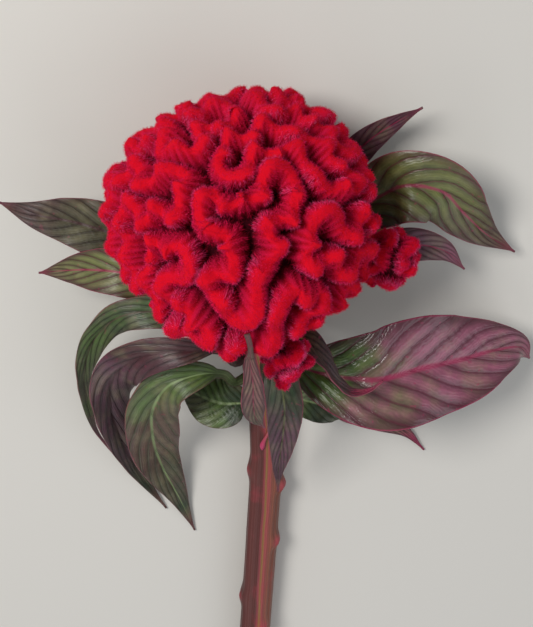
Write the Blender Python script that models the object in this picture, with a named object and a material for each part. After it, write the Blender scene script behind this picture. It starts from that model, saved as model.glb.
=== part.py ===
"""A cut stem of cockscomb celosia lying on a table.

The crest is one folded, velvety head. Its edge is a long line that grew until it had to fold, so the
folds here come from growing rings over a dome until they crowd one another. The stem flares into a
fleshy neck under the crest, two small crestlets grow beside the main one, and the leaves spring from
the stem just below the head.

Frame: the origin is the flat spot where the crest rests on the table, +Z up, and the stem lies along -Y.
Sizes are in millimetres and become metres when a mesh is made.
"""

import math
import random

import bmesh
import bpy
import numpy as np
from mathutils import Matrix, Vector

MM = 0.001
CLEARANCE = 0.35

# The crest sits on this axis, from its centre. The folds of every crest are grown the same way.
CREST_CENTRE = np.array([0.0, -20.0, 46.4])
CREST_TILT = math.radians(30.0)
FOLD_LIMIT = math.radians(108.0)
LINE_STEP = 3.0
FOLD_TOP = 0.8
FOLD_SHARPNESS = 1.35

# The lip of each fold curls to one side and back along its ring, and dips between two curls
CURL_LENGTH = 20.0
CURL_DIP = 3.0
CURL_DRIFT = 0.02

# The growth: how hard a line pulls straight and rounds itself, and how crowded lines push each other
STIFFNESS = 0.35
ROUNDING = 0.2
PUSH = 0.6
PUSH_REACH = 1.25
LONGEST_MOVE = 0.4
GROWING_SHARE = 0.8
RING_POINTS = 12
RING_REACH = 0.45
CLOSE_POINTS = 3

# The main crest: width and heights of the dome, then its folds
MAIN_CREST = {
    "radii": (51.5, 51.5),
    "height": 45.0,
    "droop": 26.0,
    "power": 2.3,
    "base": 12.0,
    "depth": 12.5,
    "foot": 5.9,
    "lean": 1.1,
    "curl": 3.3,
    "ball": 50.0,
    "spacing": 11.4,
    "seed": 11,
    "rings": 12,
    "points": 700,
    "steps": 260,
    "triangles": 8200,
    # The lumps of the dome: azimuth (0 right, 90 down), angle from the axis, rise in mm, width in degrees
    "lumps": (
        (270.0, 92.0, 9.0, 32.0),
        (340.0, 80.0, 2.0, 26.0),
        (180.0, 75.0, 3.0, 30.0),
        (220.0, 75.0, -4.0, 20.0),
        (0.0, 95.0, -6.0, 13.0),
        (300.0, 35.0, 2.0, 25.0),
        (60.0, 70.0, 3.0, 26.0),
        (125.0, 80.0, -3.5, 24.0),
        (90.0, 97.0, 1.5, 30.0),
    ),
}

# The two small crests beside it, each on a stalk from the neck
SIDE_CREST = {
    "centre": (55.0, -35.5, 44.0),
    "axis": (0.62, -0.05, 0.78),
    "radii": (12.5, 12.5),
    "height": 13.0,
    "droop": 8.0,
    "power": 2.2,
    "base": 5.0,
    "depth": 4.6,
    "foot": 3.9,
    "lean": 0.7,
    "curl": 1.4,
    "ball": 12.5,
    "spacing": 8.0,
    "seed": 4,
    "rings": 3,
    "points": 60,
    "steps": 120,
    "triangles": 950,
    "lumps": ((30.0, 60.0, 2.0, 30.0), (200.0, 60.0, -1.5, 30.0)),
    "seat": (-29.0, 0.0),
    "stalk": ((30.0, -46.5, 32.0, 3.3), (44.0, -41.0, 34.0, 3.3), (54.5, -36.6, 38.0, 5.0)),
}
FRONT_CREST = {
    "centre": (16.5, -65.5, 71.0),
    "axis": (0.12, -0.62, 0.78),
    "radii": (9.5, 12.5),
    "height": 10.5,
    "droop": 7.0,
    "power": 2.2,
    "base": 4.5,
    "depth": 4.2,
    "foot": 3.6,
    "lean": 0.6,
    "curl": 1.2,
    "ball": 11.0,
    "spacing": 7.6,
    "seed": 9,
    "rings": 2,
    "points": 48,
    "steps": 120,
    "triangles": 800,
    "lumps": ((70.0, 60.0, 1.5, 30.0), (250.0, 60.0, 1.0, 30.0)),
    "seat": (-25.0, 62.0),
    "stalk": ((11.5, -60.0, 55.0, 3.1), (15.5, -64.5, 66.0, 4.2)),
}

# The flat spot that carries the crest
REST_REACH = math.radians(13.0)
TABLE_BLOCK = (400.0, 20.0)

# The stem, from its cut end to the neck
STEM_RADIUS = 7.1
STEM_SIDES = 18
STEM_RIBS = 5
STEM_RIB_HEIGHT = 0.42
STEM_PATH = (
    (0.0, -282.0, 7.25),
    (3.0, -236.0, 8.4),
    (6.5, -180.0, 9.6),
    (8.5, -135.0, 11.6),
    (6.5, -100.0, 15.0),
    (2.5, -76.0, 19.0),
    (0.0, -56.4, 25.4),
)
STEM_STATIONS = 40
CUT_SLOPE = math.tan(math.radians(30.0))
CUT_REACH = 14.0
# Leaf scars and buds: distance from the cut end, angle round the stem, height, reach
SCARS = (
    (52.0, 60.0, 1.9, 3.8),
    (66.0, 170.0, 1.6, 4.0),
    (98.0, 20.0, 2.0, 3.8),
    (101.0, 250.0, 1.4, 4.0),
    (128.0, 10.0, 2.4, 3.8),
    (136.0, 165.0, 1.5, 4.5),
)

# The neck, which flares from the stem to the underside of the crest
NECK_RADIUS = 35.5
NECK_TOP = 12.0 + CLEARANCE
NECK_BOTTOM = 42.0
NECK_STATIONS = 8
NECK_FLARE = 2.2
STALK_LIFT = 4.0
STALK_STATIONS = 9
STALK_SIDES = 10
NECK_RIBS = 9
NECK_RIB_SHARE = 0.05

# The blades
LEAF_STATIONS = 15
LEAF_COLUMNS = (-1.0, -0.5, 0.0, 0.5, 1.0)
LEAF_THICKNESS = 0.75
PETIOLE_HALF_WIDTH = 2.1
TIP_HALF_WIDTH = 0.45
FOOT_GAP = 0.75
TABLE_GAP = 0.05
FOOT_REACH = 3.5
CREST_MARGIN = 2.0
FACE_UP = np.array([0.0, 0.37, 0.93])

# Each leaf: its foot on the stem (y, angle round it), the points of its midrib with a roll in degrees,
# half its width, where the blade starts and is widest along it, its V fold, and its waves
LEAVES = {
    "leaf_right_large": {
        "wine": True,
        "foot": (-84.0, 35.0),
        "path": (
            (24, -87, 33, 0),
            (39, -88, 40, -5),
            (55, -88, 42, -8),
            (72, -85, 38, -8),
            (90, -84, 31, -5),
            (105, -83, 24, 0),
            (117, -85, 17, 10),
            (123, -93, 10, 15),
        ),
        "half_width": 22.0,
        "blade": (0.1, 0.5),
        "fold": 0.16,
        "wave": (1.6, 2.6, 0.1),
    },
    "leaf_under_left": {
        "foot": (-107.0, 118.0),
        "path": ((-1, -107, 26, 0), (-10, -107, 26, -5), (-19, -105, 23, 0), (-29, -102, 18, 5)),
        "half_width": 11.0,
        "blade": (0.08, 0.5),
        "fold": 0.12,
        "wave": (0.9, 2.0, 0.3),
    },
    "leaf_under_right": {
        "foot": (-104.0, 20.0),
        "path": ((21, -106, 20, 0), (31, -110, 20, -8), (41, -113, 17, -5), (51, -117, 12, 0)),
        "half_width": 8.0,
        "blade": (0.08, 0.5),
        "fold": 0.15,
        "wave": (0.8, 2.0, 0.0),
    },
    "bract_front": {
        "wine": True,
        "crest_margin": -1.4,
        "path": (
            (2, -42, 94, 0),
            (3, -47, 93, 0),
            (3, -57, 91, 0),
            (4, -68, 87, 0),
            (4, -80, 79, 0),
            (5, -92, 69, -15),
            (8, -100, 61, -30),
        ),
        "half_width": 4.6,
        "petiole": 1.0,
        "blade": (0.02, 0.6),
        "fold": 0.35,
        "wave": (0.3, 1.5, 0.0),
    },
    "leaf_front_down": {
        "wine": True,
        "foot": (-70.0, 75.0),
        "path": (
            (8, -74, 38, 0),
            (14, -84, 49, 0),
            (16, -95, 50, 0),
            (16, -108, 45, 0),
            (15, -123, 38, 0),
            (14, -138, 31, 0),
            (14, -150, 26, 0),
        ),
        "half_width": 7.5,
        "blade": (0.16, 0.35),
        "fold": 0.45,
        "wave": (0.5, 2.0, 0.2),
    },
    "leaf_curl_right": {
        "foot": (-68.0, 50.0),
        "path": (
            (13, -67, 43, 0),
            (24, -66, 52, 25),
            (31, -73, 57, 45),
            (37, -83, 57, 60),
            (43, -88, 55, 50),
            (50, -87, 54, 30),
            (55, -83, 54, 10),
        ),
        "half_width": 5.0,
        "blade": (0.2, 0.45),
        "fold": 0.3,
        "wave": (0.5, 2.0, 0.0),
    },
    "leaf_left_upper": {
        "foot": (-60.0, 195.0),
        "path": (
            (-20, -50, 23, 0),
            (-38, -39, 25, 0),
            (-55, -30, 27, 5),
            (-68, -26, 27, 5),
            (-83, -23, 27, 0),
            (-98, -19, 23, 0),
        ),
        "half_width": 11.5,
        "blade": (0.25, 0.55),
        "fold": 0.14,
        "wave": (0.9, 2.2, 0.4),
    },
    "leaf_left_mid": {
        "foot": (-66.0, 168.0),
        "path": (
            (-19, -57, 32, 0),
            (-34, -48, 38, 5),
            (-48, -42, 42, 8),
            (-62, -43, 36, 5),
            (-74, -46, 29, 0),
            (-84, -49, 23, 0),
        ),
        "half_width": 9.5,
        "blade": (0.2, 0.55),
        "fold": 0.16,
        "wave": (0.8, 2.5, 0.0),
    },
    "leaf_left_arch": {
        "foot": (-76.0, 150.0),
        "path": (
            (-17, -66, 38, 0),
            (-31, -57, 46, 5),
            (-46, -58, 46, 15),
            (-59, -70, 37, 30),
            (-68, -92, 24, 40),
            (-70, -116, 11, 35),
            (-68, -132, 4, 25),
            (-62, -144, 1, 10),
        ),
        "half_width": 6.6,
        "blade": (0.12, 0.3),
        "fold": 0.25,
        "wave": (1.0, 3.0, 0.0),
    },
    "leaf_low_left_dark": {
        "wine": True,
        "foot": (-84.0, 125.0),
        "path": (
            (-10, -76, 40, 0),
            (-22, -71, 52, 5),
            (-38, -74, 50, 15),
            (-53, -88, 37, 30),
            (-58, -110, 24, 40),
            (-54, -136, 13, 35),
            (-47, -158, 4, 25),
            (-38, -174, 1, 10),
        ),
        "half_width": 9.5,
        "blade": (0.14, 0.5),
        "fold": 0.25,
        "wave": (1.0, 3.0, 0.5),
    },
    "leaf_low_left_striped": {
        "foot": (-93.0, 140.0),
        "path": (
            (-9, -89, 35, 0),
            (-18, -85, 44, 0),
            (-29, -88, 46, 5),
            (-37, -100, 40, 15),
            (-40, -121, 28, 20),
            (-38, -144, 14, 20),
            (-31, -168, 4, 10),
            (-25, -186, 1, 0),
        ),
        "half_width": 11.5,
        "blade": (0.14, 0.5),
        "fold": 0.2,
        "wave": (1.0, 3.0, 0.2),
    },
    "leaf_back_right": {
        "foot": (-60.0, -15.0),
        "path": (
            (22, -45, 15, 0),
            (40, -31, 14, 0),
            (55, -18, 17.5, -5),
            (65, -11, 27, -12),
            (77, -13, 27, -20),
            (89, -25, 20, -20),
            (100, -36, 13, -10),
            (113, -45, 8, 0),
        ),
        "half_width": 14.0,
        "blade": (0.22, 0.55),
        "fold": 0.3,
        "wave": (1.4, 2.5, 0.0),
    },
    "leaf_right_mid": {
        "wine": True,
        "foot": (-64.0, 10.0),
        "path": (
            (22, -54, 24, 0),
            (40, -45, 26, 0),
            (58, -37, 28, 0),
            (70, -35, 29, 0),
            (80, -38, 27, 0),
            (90, -48, 21, 0),
        ),
        "half_width": 7.5,
        "blade": (0.3, 0.6),
        "fold": 0.2,
        "wave": (0.8, 2.0, 0.0),
    },
    "leaf_top_right": {
        "wine": True,
        "foot": (-58.0, -50.0),
        "path": (
            (16, -40, 10, 0),
            (34, -18, 3, 0),
            (50, 2, 8, 0),
            (62, 13, 17, 0),
            (69, 19, 24, 0),
        ),
        "half_width": 6.5,
        "blade": (0.3, 0.6),
        "fold": 0.2,
        "wave": (0.5, 2.0, 0.0),
    },
    "leaf_low_right_tip": {
        "wine": True,
        "foot": (-95.0, -10.0),
        "path": (
            (24, -106, 8, 0),
            (42, -119, 5, 0),
            (60, -127, 4, 0),
            (72, -133, 2.5, 0),
            (81, -143, 1, 0),
        ),
        "half_width": 5.5,
        "blade": (0.15, 0.5),
        "fold": 0.2,
        "wave": (0.6, 2.0, 0.0),
    },
}


def unit(vector):
    vector = np.asarray(vector, float)
    return vector / np.linalg.norm(vector, axis=-1, keepdims=True)


def smooth_step(x):
    x = np.clip(x, 0.0, 1.0)
    return x * x * (3.0 - 2.0 * x)


def smooth_path(points, count):
    """Evenly spaced points on a smooth curve through the given ones."""
    points = np.asarray(points, float)
    knots = np.concatenate([[0.0], np.cumsum(np.linalg.norm(np.diff(points[:, :3], axis=0), axis=1))])
    slopes = np.gradient(points, knots, axis=0)
    where = np.linspace(0.0, knots[-1], count)
    i = np.clip(np.searchsorted(knots, where, side="right") - 1, 0, len(points) - 2)
    span = (knots[i + 1] - knots[i])[:, None]
    t = (where - knots[i])[:, None] / span
    return (
        (1 + 2 * t) * (1 - t) ** 2 * points[i]
        + t * (1 - t) ** 2 * span * slopes[i]
        + t * t * (3 - 2 * t) * points[i + 1]
        + t * t * (t - 1) * span * slopes[i + 1]
    )


def axes_towards(axis):
    """Rows: across the axis, across both, and along it."""
    along = unit(axis)
    across = unit(np.cross([0.0, 1.0, 0.0], along))
    if abs(along[0]) < 1e-9:
        across = np.array([1.0, 0.0, 0.0])
    return np.array([across, np.cross(along, across), along])


CREST_AXES = axes_towards((0.0, math.cos(CREST_TILT), math.sin(CREST_TILT)))


def direction(azimuth, polar):
    azimuth, polar = math.radians(azimuth), math.radians(polar)
    across = math.sin(polar)
    return np.array([across * math.cos(azimuth), across * math.sin(azimuth), math.cos(polar)])


def start_rings(shape, rng):
    """Small wavy rings spread evenly over the dome."""
    rings = []
    golden = math.pi * (3.0 - math.sqrt(5.0))
    for k in range(shape["rings"]):
        height = 1.0 - (k + 0.5) / shape["rings"] * (1.0 - math.cos(FOLD_LIMIT)) * 0.94
        centre = direction(math.degrees(golden * k), math.degrees(math.acos(height)))
        side = unit(np.cross(centre, [0.3, 0.5, 0.8]))
        other = np.cross(centre, side)
        ring = []
        for i in range(RING_POINTS):
            turn = 2.0 * math.pi * i / RING_POINTS
            reach = RING_REACH * shape["spacing"] / shape["ball"] * rng.uniform(0.7, 1.4)
            ring.append(centre + reach * (math.cos(turn) * side + math.sin(turn) * other))
        rings.append(unit(ring))
    return rings


def near_pairs(points, ring_of, reach):
    """Pairs of points that push each other apart, leaving out close neighbours on one ring."""
    first, second = np.nonzero(points @ points.T > math.cos(reach))
    keep = first < second
    first, second = first[keep], second[keep]
    same = ring_of[:, 0][first] == ring_of[:, 0][second]
    apart = np.abs(first - second)
    apart = np.minimum(apart, ring_of[:, 1][first] - apart)
    keep = ~same | (apart > CLOSE_POINTS)
    return first[keep], second[keep]


def lengthen(rings, rng):
    """Adds one point to a ring, at random."""
    k = rng.choices(range(len(rings)), [len(ring) for ring in rings])[0]
    i = rng.randrange(len(rings[k]))
    middle = (rings[k][i] + rings[k][(i + 1) % len(rings[k])]) / 2.0
    rings[k] = np.insert(rings[k], i + 1, middle, 0)


def ring_starts(rings):
    return np.concatenate([[0], np.cumsum([len(ring) for ring in rings])[:-1]])


def neighbours(rings):
    """For all points in one list: the next one, the one before, and the start and size of the ring."""
    sizes = [len(ring) for ring in rings]
    ring_of = np.repeat(np.stack([ring_starts(rings), sizes], 1), sizes, 0)
    order = np.arange(sum(sizes))
    after = np.where(order + 1 < ring_of.sum(1), order + 1, ring_of[:, 0])
    before = np.where(order > ring_of[:, 0], order - 1, ring_of.sum(1) - 1)
    return after, before, ring_of


def grow_folds(shape):
    """The edge of a crest: rings on a unit dome that lengthen and push each other until they fill it."""
    rng = random.Random(shape["seed"])
    rings = start_rings(shape, rng)
    step = LINE_STEP / shape["ball"]
    reach = PUSH_REACH * shape["spacing"] / shape["ball"]
    started = sum(len(ring) for ring in rings)
    each = (shape["points"] - started) / (GROWING_SHARE * shape["steps"])
    due = 0.0
    for turn in range(shape["steps"]):
        added = False
        due += each if sum(len(ring) for ring in rings) < shape["points"] else 0.0
        while due >= 1.0:
            due -= 1.0
            added = True
            lengthen(rings, rng)
        points = np.concatenate(rings)
        after, before, ring_of = neighbours(rings)
        if added or turn % 4 == 0:
            first, second = near_pairs(points, ring_of, 1.2 * reach)
        ahead = points[after] - points
        length = np.linalg.norm(ahead, axis=1, keepdims=True) + 1e-12
        pull = ahead / length * (length - step)
        move = STIFFNESS * (pull - pull[before])
        move += ROUNDING * ((points[after] + points[before]) / 2.0 - points)
        apart = points[first] - points[second]
        distance = np.linalg.norm(apart, axis=1, keepdims=True) + 1e-12
        push = apart / distance * np.maximum(0.0, 1.0 - distance / reach) * step * PUSH
        for axis in range(3):
            move[:, axis] += np.bincount(first, push[:, axis], len(points))
            move[:, axis] -= np.bincount(second, push[:, axis], len(points))
        move[:, 2] += np.maximum(0.0, math.cos(FOLD_LIMIT) - points[:, 2]) * PUSH
        size = np.linalg.norm(move, axis=1, keepdims=True)
        move *= np.minimum(1.0, LONGEST_MOVE * step / np.maximum(size, 1e-12))
        points = np.round(unit(points + move), 9)
        rings = [points[start : start + len(ring)] for start, ring in zip(ring_starts(rings), rings)]
    return [rounded(ring) for ring in rings]


def rounded(ring):
    """A ring with its corners cut twice."""
    for _ in range(2):
        after = np.roll(ring, -1, 0)
        ring = unit(np.stack([0.75 * ring + 0.25 * after, 0.25 * ring + 0.75 * after], 1).reshape(-1, 3))
    return ring


def ring_fields(rings):
    """For every point of the rings: the step to the next, its place along the ring and the ring's length."""
    steps = [np.roll(ring, -1, 0) - ring for ring in rings]
    places = [np.arange(len(ring)) / len(ring) for ring in rings]
    lengths = [np.full(len(step), np.linalg.norm(step, axis=1).sum()) for step in steps]
    return np.concatenate(steps), np.concatenate(places), np.concatenate(lengths)


def nearest_on_rings(points, rings):
    """For each unit vector: distance to the nearest ring, the point there, its place along, the ring's length."""
    starts = np.concatenate(rings)
    along, places, lengths = ring_fields(rings)
    counts = np.concatenate([np.full(len(ring), len(ring)) for ring in rings])
    square = (along**2).sum(1) + 1e-18
    offset = (starts * along).sum(1)
    best, foot, place, ring_length, step = [], [], [], [], []
    for low in range(0, len(points), 4000):
        block = points[low : low + 4000]
        t = np.clip((block @ along.T - offset) / square, 0.0, 1.0)
        square_gap = np.zeros_like(t)
        for axis in range(3):
            square_gap += (block[:, None, axis] - starts[None, :, axis] - t * along[None, :, axis]) ** 2
        chosen = square_gap.argmin(1)
        rows = np.arange(len(block))
        best.append(np.sqrt(square_gap[rows, chosen]))
        foot.append(starts[chosen] + t[rows, chosen][:, None] * along[chosen])
        place.append(places[chosen] + t[rows, chosen] / counts[chosen])
        ring_length.append(lengths[chosen])
        step.append(along[chosen])
    return [np.concatenate(values) for values in (best, foot, place, ring_length, step)]


def envelope(shape, towards):
    """Distance from a crest's centre to the tops of its folds, for unit vectors in its own axes."""
    across = np.hypot(towards[:, 0] / shape["radii"][0], towards[:, 1] / shape["radii"][1])
    along = np.abs(towards[:, 2]) / np.where(towards[:, 2] > 0, shape["height"], shape["droop"])
    reach = (across ** shape["power"] + along ** shape["power"]) ** (-1.0 / shape["power"])
    for azimuth, polar, rise, width in shape["lumps"]:
        angle = np.arccos(np.clip(towards @ direction(azimuth, polar), -1.0, 1.0))
        reach = reach + rise * np.exp(-((angle / math.radians(width)) ** 2))
    return reach


def curl_wave(place, length):
    """How far the lip leans to one side along its ring, from -1 to 1, in whole waves of uneven length."""
    waves = np.maximum(2.0, np.round(length / CURL_LENGTH))
    drifted = place + CURL_DRIFT * np.sin(6.0 * math.pi * place + length)
    return np.sin(2.0 * math.pi * waves * drifted)


def crest_form(shape, towards, nearest, solid_spot=None):
    """A crest's surface round its own centre, with each point's share of the fold and of what is free to fold."""
    polar = np.arccos(np.clip(towards[:, 2], -1.0, 1.0))
    angle, foot, place, length, step = nearest
    distance = angle * shape["ball"]
    profile = (1.0 - smooth_step((distance - FOLD_TOP) / (shape["foot"] - FOLD_TOP))) ** FOLD_SHARPNESS
    fade = 1.0 - smooth_step((polar - FOLD_LIMIT + 0.02) / 0.12)
    free = fade
    if solid_spot is not None:
        to_spot = np.arccos(np.clip(towards @ solid_spot, -1.0, 1.0))
        spot = 1.0 - smooth_step((to_spot / REST_REACH - 1.0) * 2.0)
        profile = np.maximum(profile, spot)
        free = fade * (1.0 - spot)
    curl = curl_wave(place, length * shape["ball"])
    reach = envelope(shape, towards) - shape["depth"] * (1.0 - profile) * fade
    reach = reach - CURL_DIP * (1.0 - curl**2) * profile * free
    away = towards - foot
    away = away / (np.linalg.norm(away, axis=1, keepdims=True) + 1e-9)
    lean = shape["lean"] * np.sin(math.pi * np.clip(distance / shape["foot"], 0.0, 1.0)) * fade
    aside = unit(np.cross(foot, step) + 1e-12) * (shape["curl"] * curl * profile * free)[:, None]
    points = towards * reach[:, None] + away * lean[:, None] + aside
    points[:, 2] = np.maximum(points[:, 2], -shape["base"])
    return points, away, distance, profile, free


def crest_points(shape, towards, rings, centre, axes, solid_spot=None):
    """A crest's surface in table coordinates, for unit vectors in its own axes."""
    points = crest_form(shape, towards, nearest_on_rings(towards, rings), solid_spot)[0]
    return centre + points @ axes


def material(name, colour, roughness):
    made = bpy.data.materials.new(name)
    made.use_nodes = True
    shader = made.node_tree.nodes["Principled BSDF"]
    shader.inputs["Base Color"].default_value = (*colour, 1.0)
    shader.inputs["Roughness"].default_value = roughness
    shader.inputs["Metallic"].default_value = 0.0
    return made


def add_object(name, mesh, look):
    made = bpy.data.objects.new(name, mesh)
    bpy.context.scene.collection.objects.link(made)
    mesh.materials.append(look)
    mesh.shade_smooth()
    return made


def dome_mesh(name, subdivisions):
    """An even ball of triangles, and the unit vectors of its points."""
    ball = bmesh.new()
    bmesh.ops.create_icosphere(ball, subdivisions=subdivisions, radius=1.0)
    mesh = bpy.data.meshes.new(name)
    ball.to_mesh(mesh)
    ball.free()
    towards = np.empty(len(mesh.vertices) * 3, np.float32)
    mesh.vertices.foreach_get("co", towards)
    return mesh, unit(towards.reshape(-1, 3).astype(float))


def place(mesh, points):
    mesh.vertices.foreach_set("co", (np.asarray(points) * MM).astype(np.float32).ravel())
    mesh.update()


def crest_object(name, shape, centre, axes, subdivisions, look, solid_spot=None):
    mesh, towards = dome_mesh(name, subdivisions)
    place(mesh, crest_points(shape, towards, grow_folds(shape), centre, axes, solid_spot))
    crest = add_object(name, mesh, look)
    fewer = crest.modifiers.new("fewer faces", "DECIMATE")
    fewer.ratio = shape["triangles"] / len(mesh.polygons)
    return crest


def make_main_crest(look):
    spot = unit(CREST_AXES @ -CREST_CENTRE)
    crest = crest_object("crest", MAIN_CREST, CREST_CENTRE, CREST_AXES, 6, look, spot)
    combine(crest, table_cutter(), "DIFFERENCE")
    return crest


def make_small_crest(name, shape, look):
    """A small crest and the stalk that carries it, as one body."""
    centre = np.array(shape["centre"])
    crest = crest_object(name, shape, centre, axes_towards(shape["axis"]), 5, look)
    stalk = stalk_path(shape, STALK_STATIONS)
    mesh = tube_mesh(name + "_stalk", stalk[:, :3], lambda k, turn: stalk[k, 3], STALK_SIDES)
    helper = add_helper(name + "_stalk", mesh)
    combine(crest, helper, "UNION")
    return crest


def stalk_path(shape, stations):
    """The middle of a small crest's stalk, from just off the neck, with its radius."""
    seat, out = neck_seat(*shape["seat"])
    width = shape["stalk"][0][3]
    start = [[*(seat + reach * out), width] for reach in (FOOT_GAP, FOOT_GAP + STALK_LIFT)]
    return smooth_path([*start, *shape["stalk"]], stations)


def combine(made, other, operation):
    step = made.modifiers.new(operation.lower(), "BOOLEAN")
    step.operation = operation
    step.solver = "EXACT"
    step.object = other


def add_helper(name, mesh):
    """An object that only shapes another one."""
    helper = bpy.data.objects.new(name, mesh)
    bpy.context.scene.collection.objects.link(helper)
    helper.hide_render = True
    helper.display_type = "WIRE"
    return helper


def table_cutter():
    """The block under the table top, which presses the underside flat where the weight rests."""
    width, depth = TABLE_BLOCK[0] * MM, TABLE_BLOCK[1] * MM
    block = bmesh.new()
    bmesh.ops.create_cube(block, size=1.0, matrix=Matrix.Diagonal((width, width, depth, 1.0)))
    bmesh.ops.translate(block, verts=block.verts, vec=Vector((0.0, 0.0, -depth / 2.0)))
    mesh = bpy.data.meshes.new("table_cutter")
    block.to_mesh(mesh)
    block.free()
    return add_helper("table_cutter", mesh)


def frames_along(path):
    """Tangents of a path, and for each point a right and an up direction across it."""
    tangents = unit(np.gradient(path, axis=0))
    right = unit(np.cross(tangents, [0.0, 0.0, 1.0]))
    return tangents, right, np.cross(right, tangents)


def tube_mesh(name, path, radius, sides, slope=None):
    """A closed tube. radius takes a station and an angle, and slope shifts a point along the path."""
    tangents, right, up = frames_along(path)
    points = []
    for k, middle in enumerate(path):
        for j in range(sides):
            turn = 2.0 * math.pi * j / sides
            reach = radius(k, turn)
            point = middle + reach * (math.cos(turn) * right[k] + math.sin(turn) * up[k])
            if slope:
                point = point + tangents[k] * slope(k, reach * math.sin(turn))
            points.append(point * MM)
    faces = [tuple(range(sides))[::-1], tuple((len(path) - 1) * sides + j for j in range(sides))]
    for k in range(len(path) - 1):
        for j in range(sides):
            a, b = k * sides + j, k * sides + (j + 1) % sides
            faces += [(a, b, b + sides), (a, b + sides, a + sides)]
    mesh = bpy.data.meshes.new(name)
    mesh.from_pydata([tuple(point) for point in points], [], faces)
    outward(mesh)
    return mesh


def outward(mesh):
    shell = bmesh.new()
    shell.from_mesh(mesh)
    bmesh.ops.recalc_face_normals(shell, faces=shell.faces)
    shell.to_mesh(mesh)
    shell.free()


def stem_path(stem_stations=STEM_STATIONS, neck_stations=NECK_STATIONS):
    """Points along the stem and up the neck, their distance from the cut end, and their share up the neck."""
    stem = smooth_path(STEM_PATH, stem_stations)
    heights = np.linspace(-NECK_BOTTOM, -NECK_TOP, neck_stations + 1)[1:]
    neck = CREST_CENTRE + heights[:, None] * CREST_AXES[2]
    path = np.concatenate([stem, neck])
    run = np.concatenate([[0.0], np.cumsum(np.linalg.norm(np.diff(path, axis=0), axis=1))])
    share = np.concatenate([np.zeros(stem_stations), (heights + NECK_BOTTOM) / (NECK_BOTTOM - NECK_TOP)])
    return path, run, share


def neck_reach(share, turn):
    """From the axis to the skin, for a share of the way up the neck: 0 on the stem, 1 under the crest."""
    plain = STEM_RADIUS + (NECK_RADIUS - STEM_RADIUS) * share**NECK_FLARE
    ribs = STEM_RIB_HEIGHT * math.cos(STEM_RIBS * turn) * (1.0 - share)
    return plain + ribs + NECK_RIB_SHARE * plain * math.cos(NECK_RIBS * turn) * share


def stem_reach(distance, share, turn):
    """From the axis to the skin, with the scars and buds."""
    bumps = 0.0
    for place, angle, height, reach in SCARS:
        side = (turn - math.radians(angle) + math.pi) % (2.0 * math.pi) - math.pi
        gap = math.hypot(distance - place, side * STEM_RADIUS)
        bumps += height * math.exp(-((gap / reach) ** 2))
    return neck_reach(share, turn) + bumps


def neck_seat(height, angle):
    """A point on the neck and the way out. The angle is 0 on the right and 90 above, as on the stem."""
    share = (height + NECK_BOTTOM) / (NECK_BOTTOM - NECK_TOP)
    turn = math.radians(angle)
    reach = neck_reach(share, turn)
    rise = (neck_reach(share + 0.01, turn) - reach) / (0.01 * (NECK_BOTTOM - NECK_TOP))
    radial = math.cos(turn) * CREST_AXES[0] - math.sin(turn) * CREST_AXES[1]
    return CREST_CENTRE + reach * radial + height * CREST_AXES[2], unit(radial - rise * CREST_AXES[2])


def cut_shift(distance, height):
    """How far a point near the end moves along the stem, so that the cut slopes."""
    return -CUT_SLOPE * height * max(0.0, 1.0 - distance / CUT_REACH)


def make_stem(look):
    path, run, share = stem_path()
    mesh = tube_mesh(
        "stem",
        path,
        lambda k, turn: stem_reach(run[k], share[k], turn),
        STEM_SIDES,
        lambda k, height: cut_shift(run[k], height),
    )
    return add_object("stem", mesh, look)


def stem_foot(y, angle):
    """A point just off the stem's side, and the way out from it."""
    path, run, _ = stem_path()
    k = int(np.abs(path[:STEM_STATIONS, 1] - y).argmin())
    _, right, up = frames_along(path)
    turn = math.radians(angle)
    out = math.cos(turn) * right[k] + math.sin(turn) * up[k]
    return path[k] + out * (stem_reach(run[k], 0.0, turn) + FOOT_GAP), out


def leaf_midrib(leaf, stations):
    points = list(leaf["path"])
    if "foot" in leaf:
        foot, out = stem_foot(*leaf["foot"])
        roll = points[0][3]
        points = [[*foot, roll], [*(foot + FOOT_REACH * out), roll], *points]
    return smooth_path(points, stations)


def leaf_half_width(leaf, s):
    start, widest = leaf["blade"]
    b = np.clip((s - start) / (1.0 - start), 0.0, 1.0)
    power = math.log(0.5) / math.log((widest - start) / (1.0 - start))
    blade = leaf["half_width"] * np.sin(math.pi * b**power) ** 0.85 * (1.0 - 0.5 * b**6)
    petiole = leaf.get("petiole", PETIOLE_HALF_WIDTH)
    stalk = petiole + (TIP_HALF_WIDTH - petiole) * s
    return np.maximum(blade, stalk), b


def leaf_frame(leaf, stations):
    """The midrib's points, and for each the way across the blade and the way its upper face looks."""
    midrib = leaf_midrib(leaf, stations)
    spine = midrib[:, :3]
    tangents = unit(np.gradient(spine, axis=0))
    if "foot" in leaf:
        tangents[0] = stem_foot(*leaf["foot"])[1]
    normal = unit(FACE_UP - (tangents @ FACE_UP)[:, None] * tangents)
    side = np.cross(tangents, normal)
    roll = np.radians(midrib[:, 3])[:, None]
    return spine, side * np.cos(roll) + normal * np.sin(roll), normal * np.cos(roll) - side * np.sin(roll)


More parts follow.
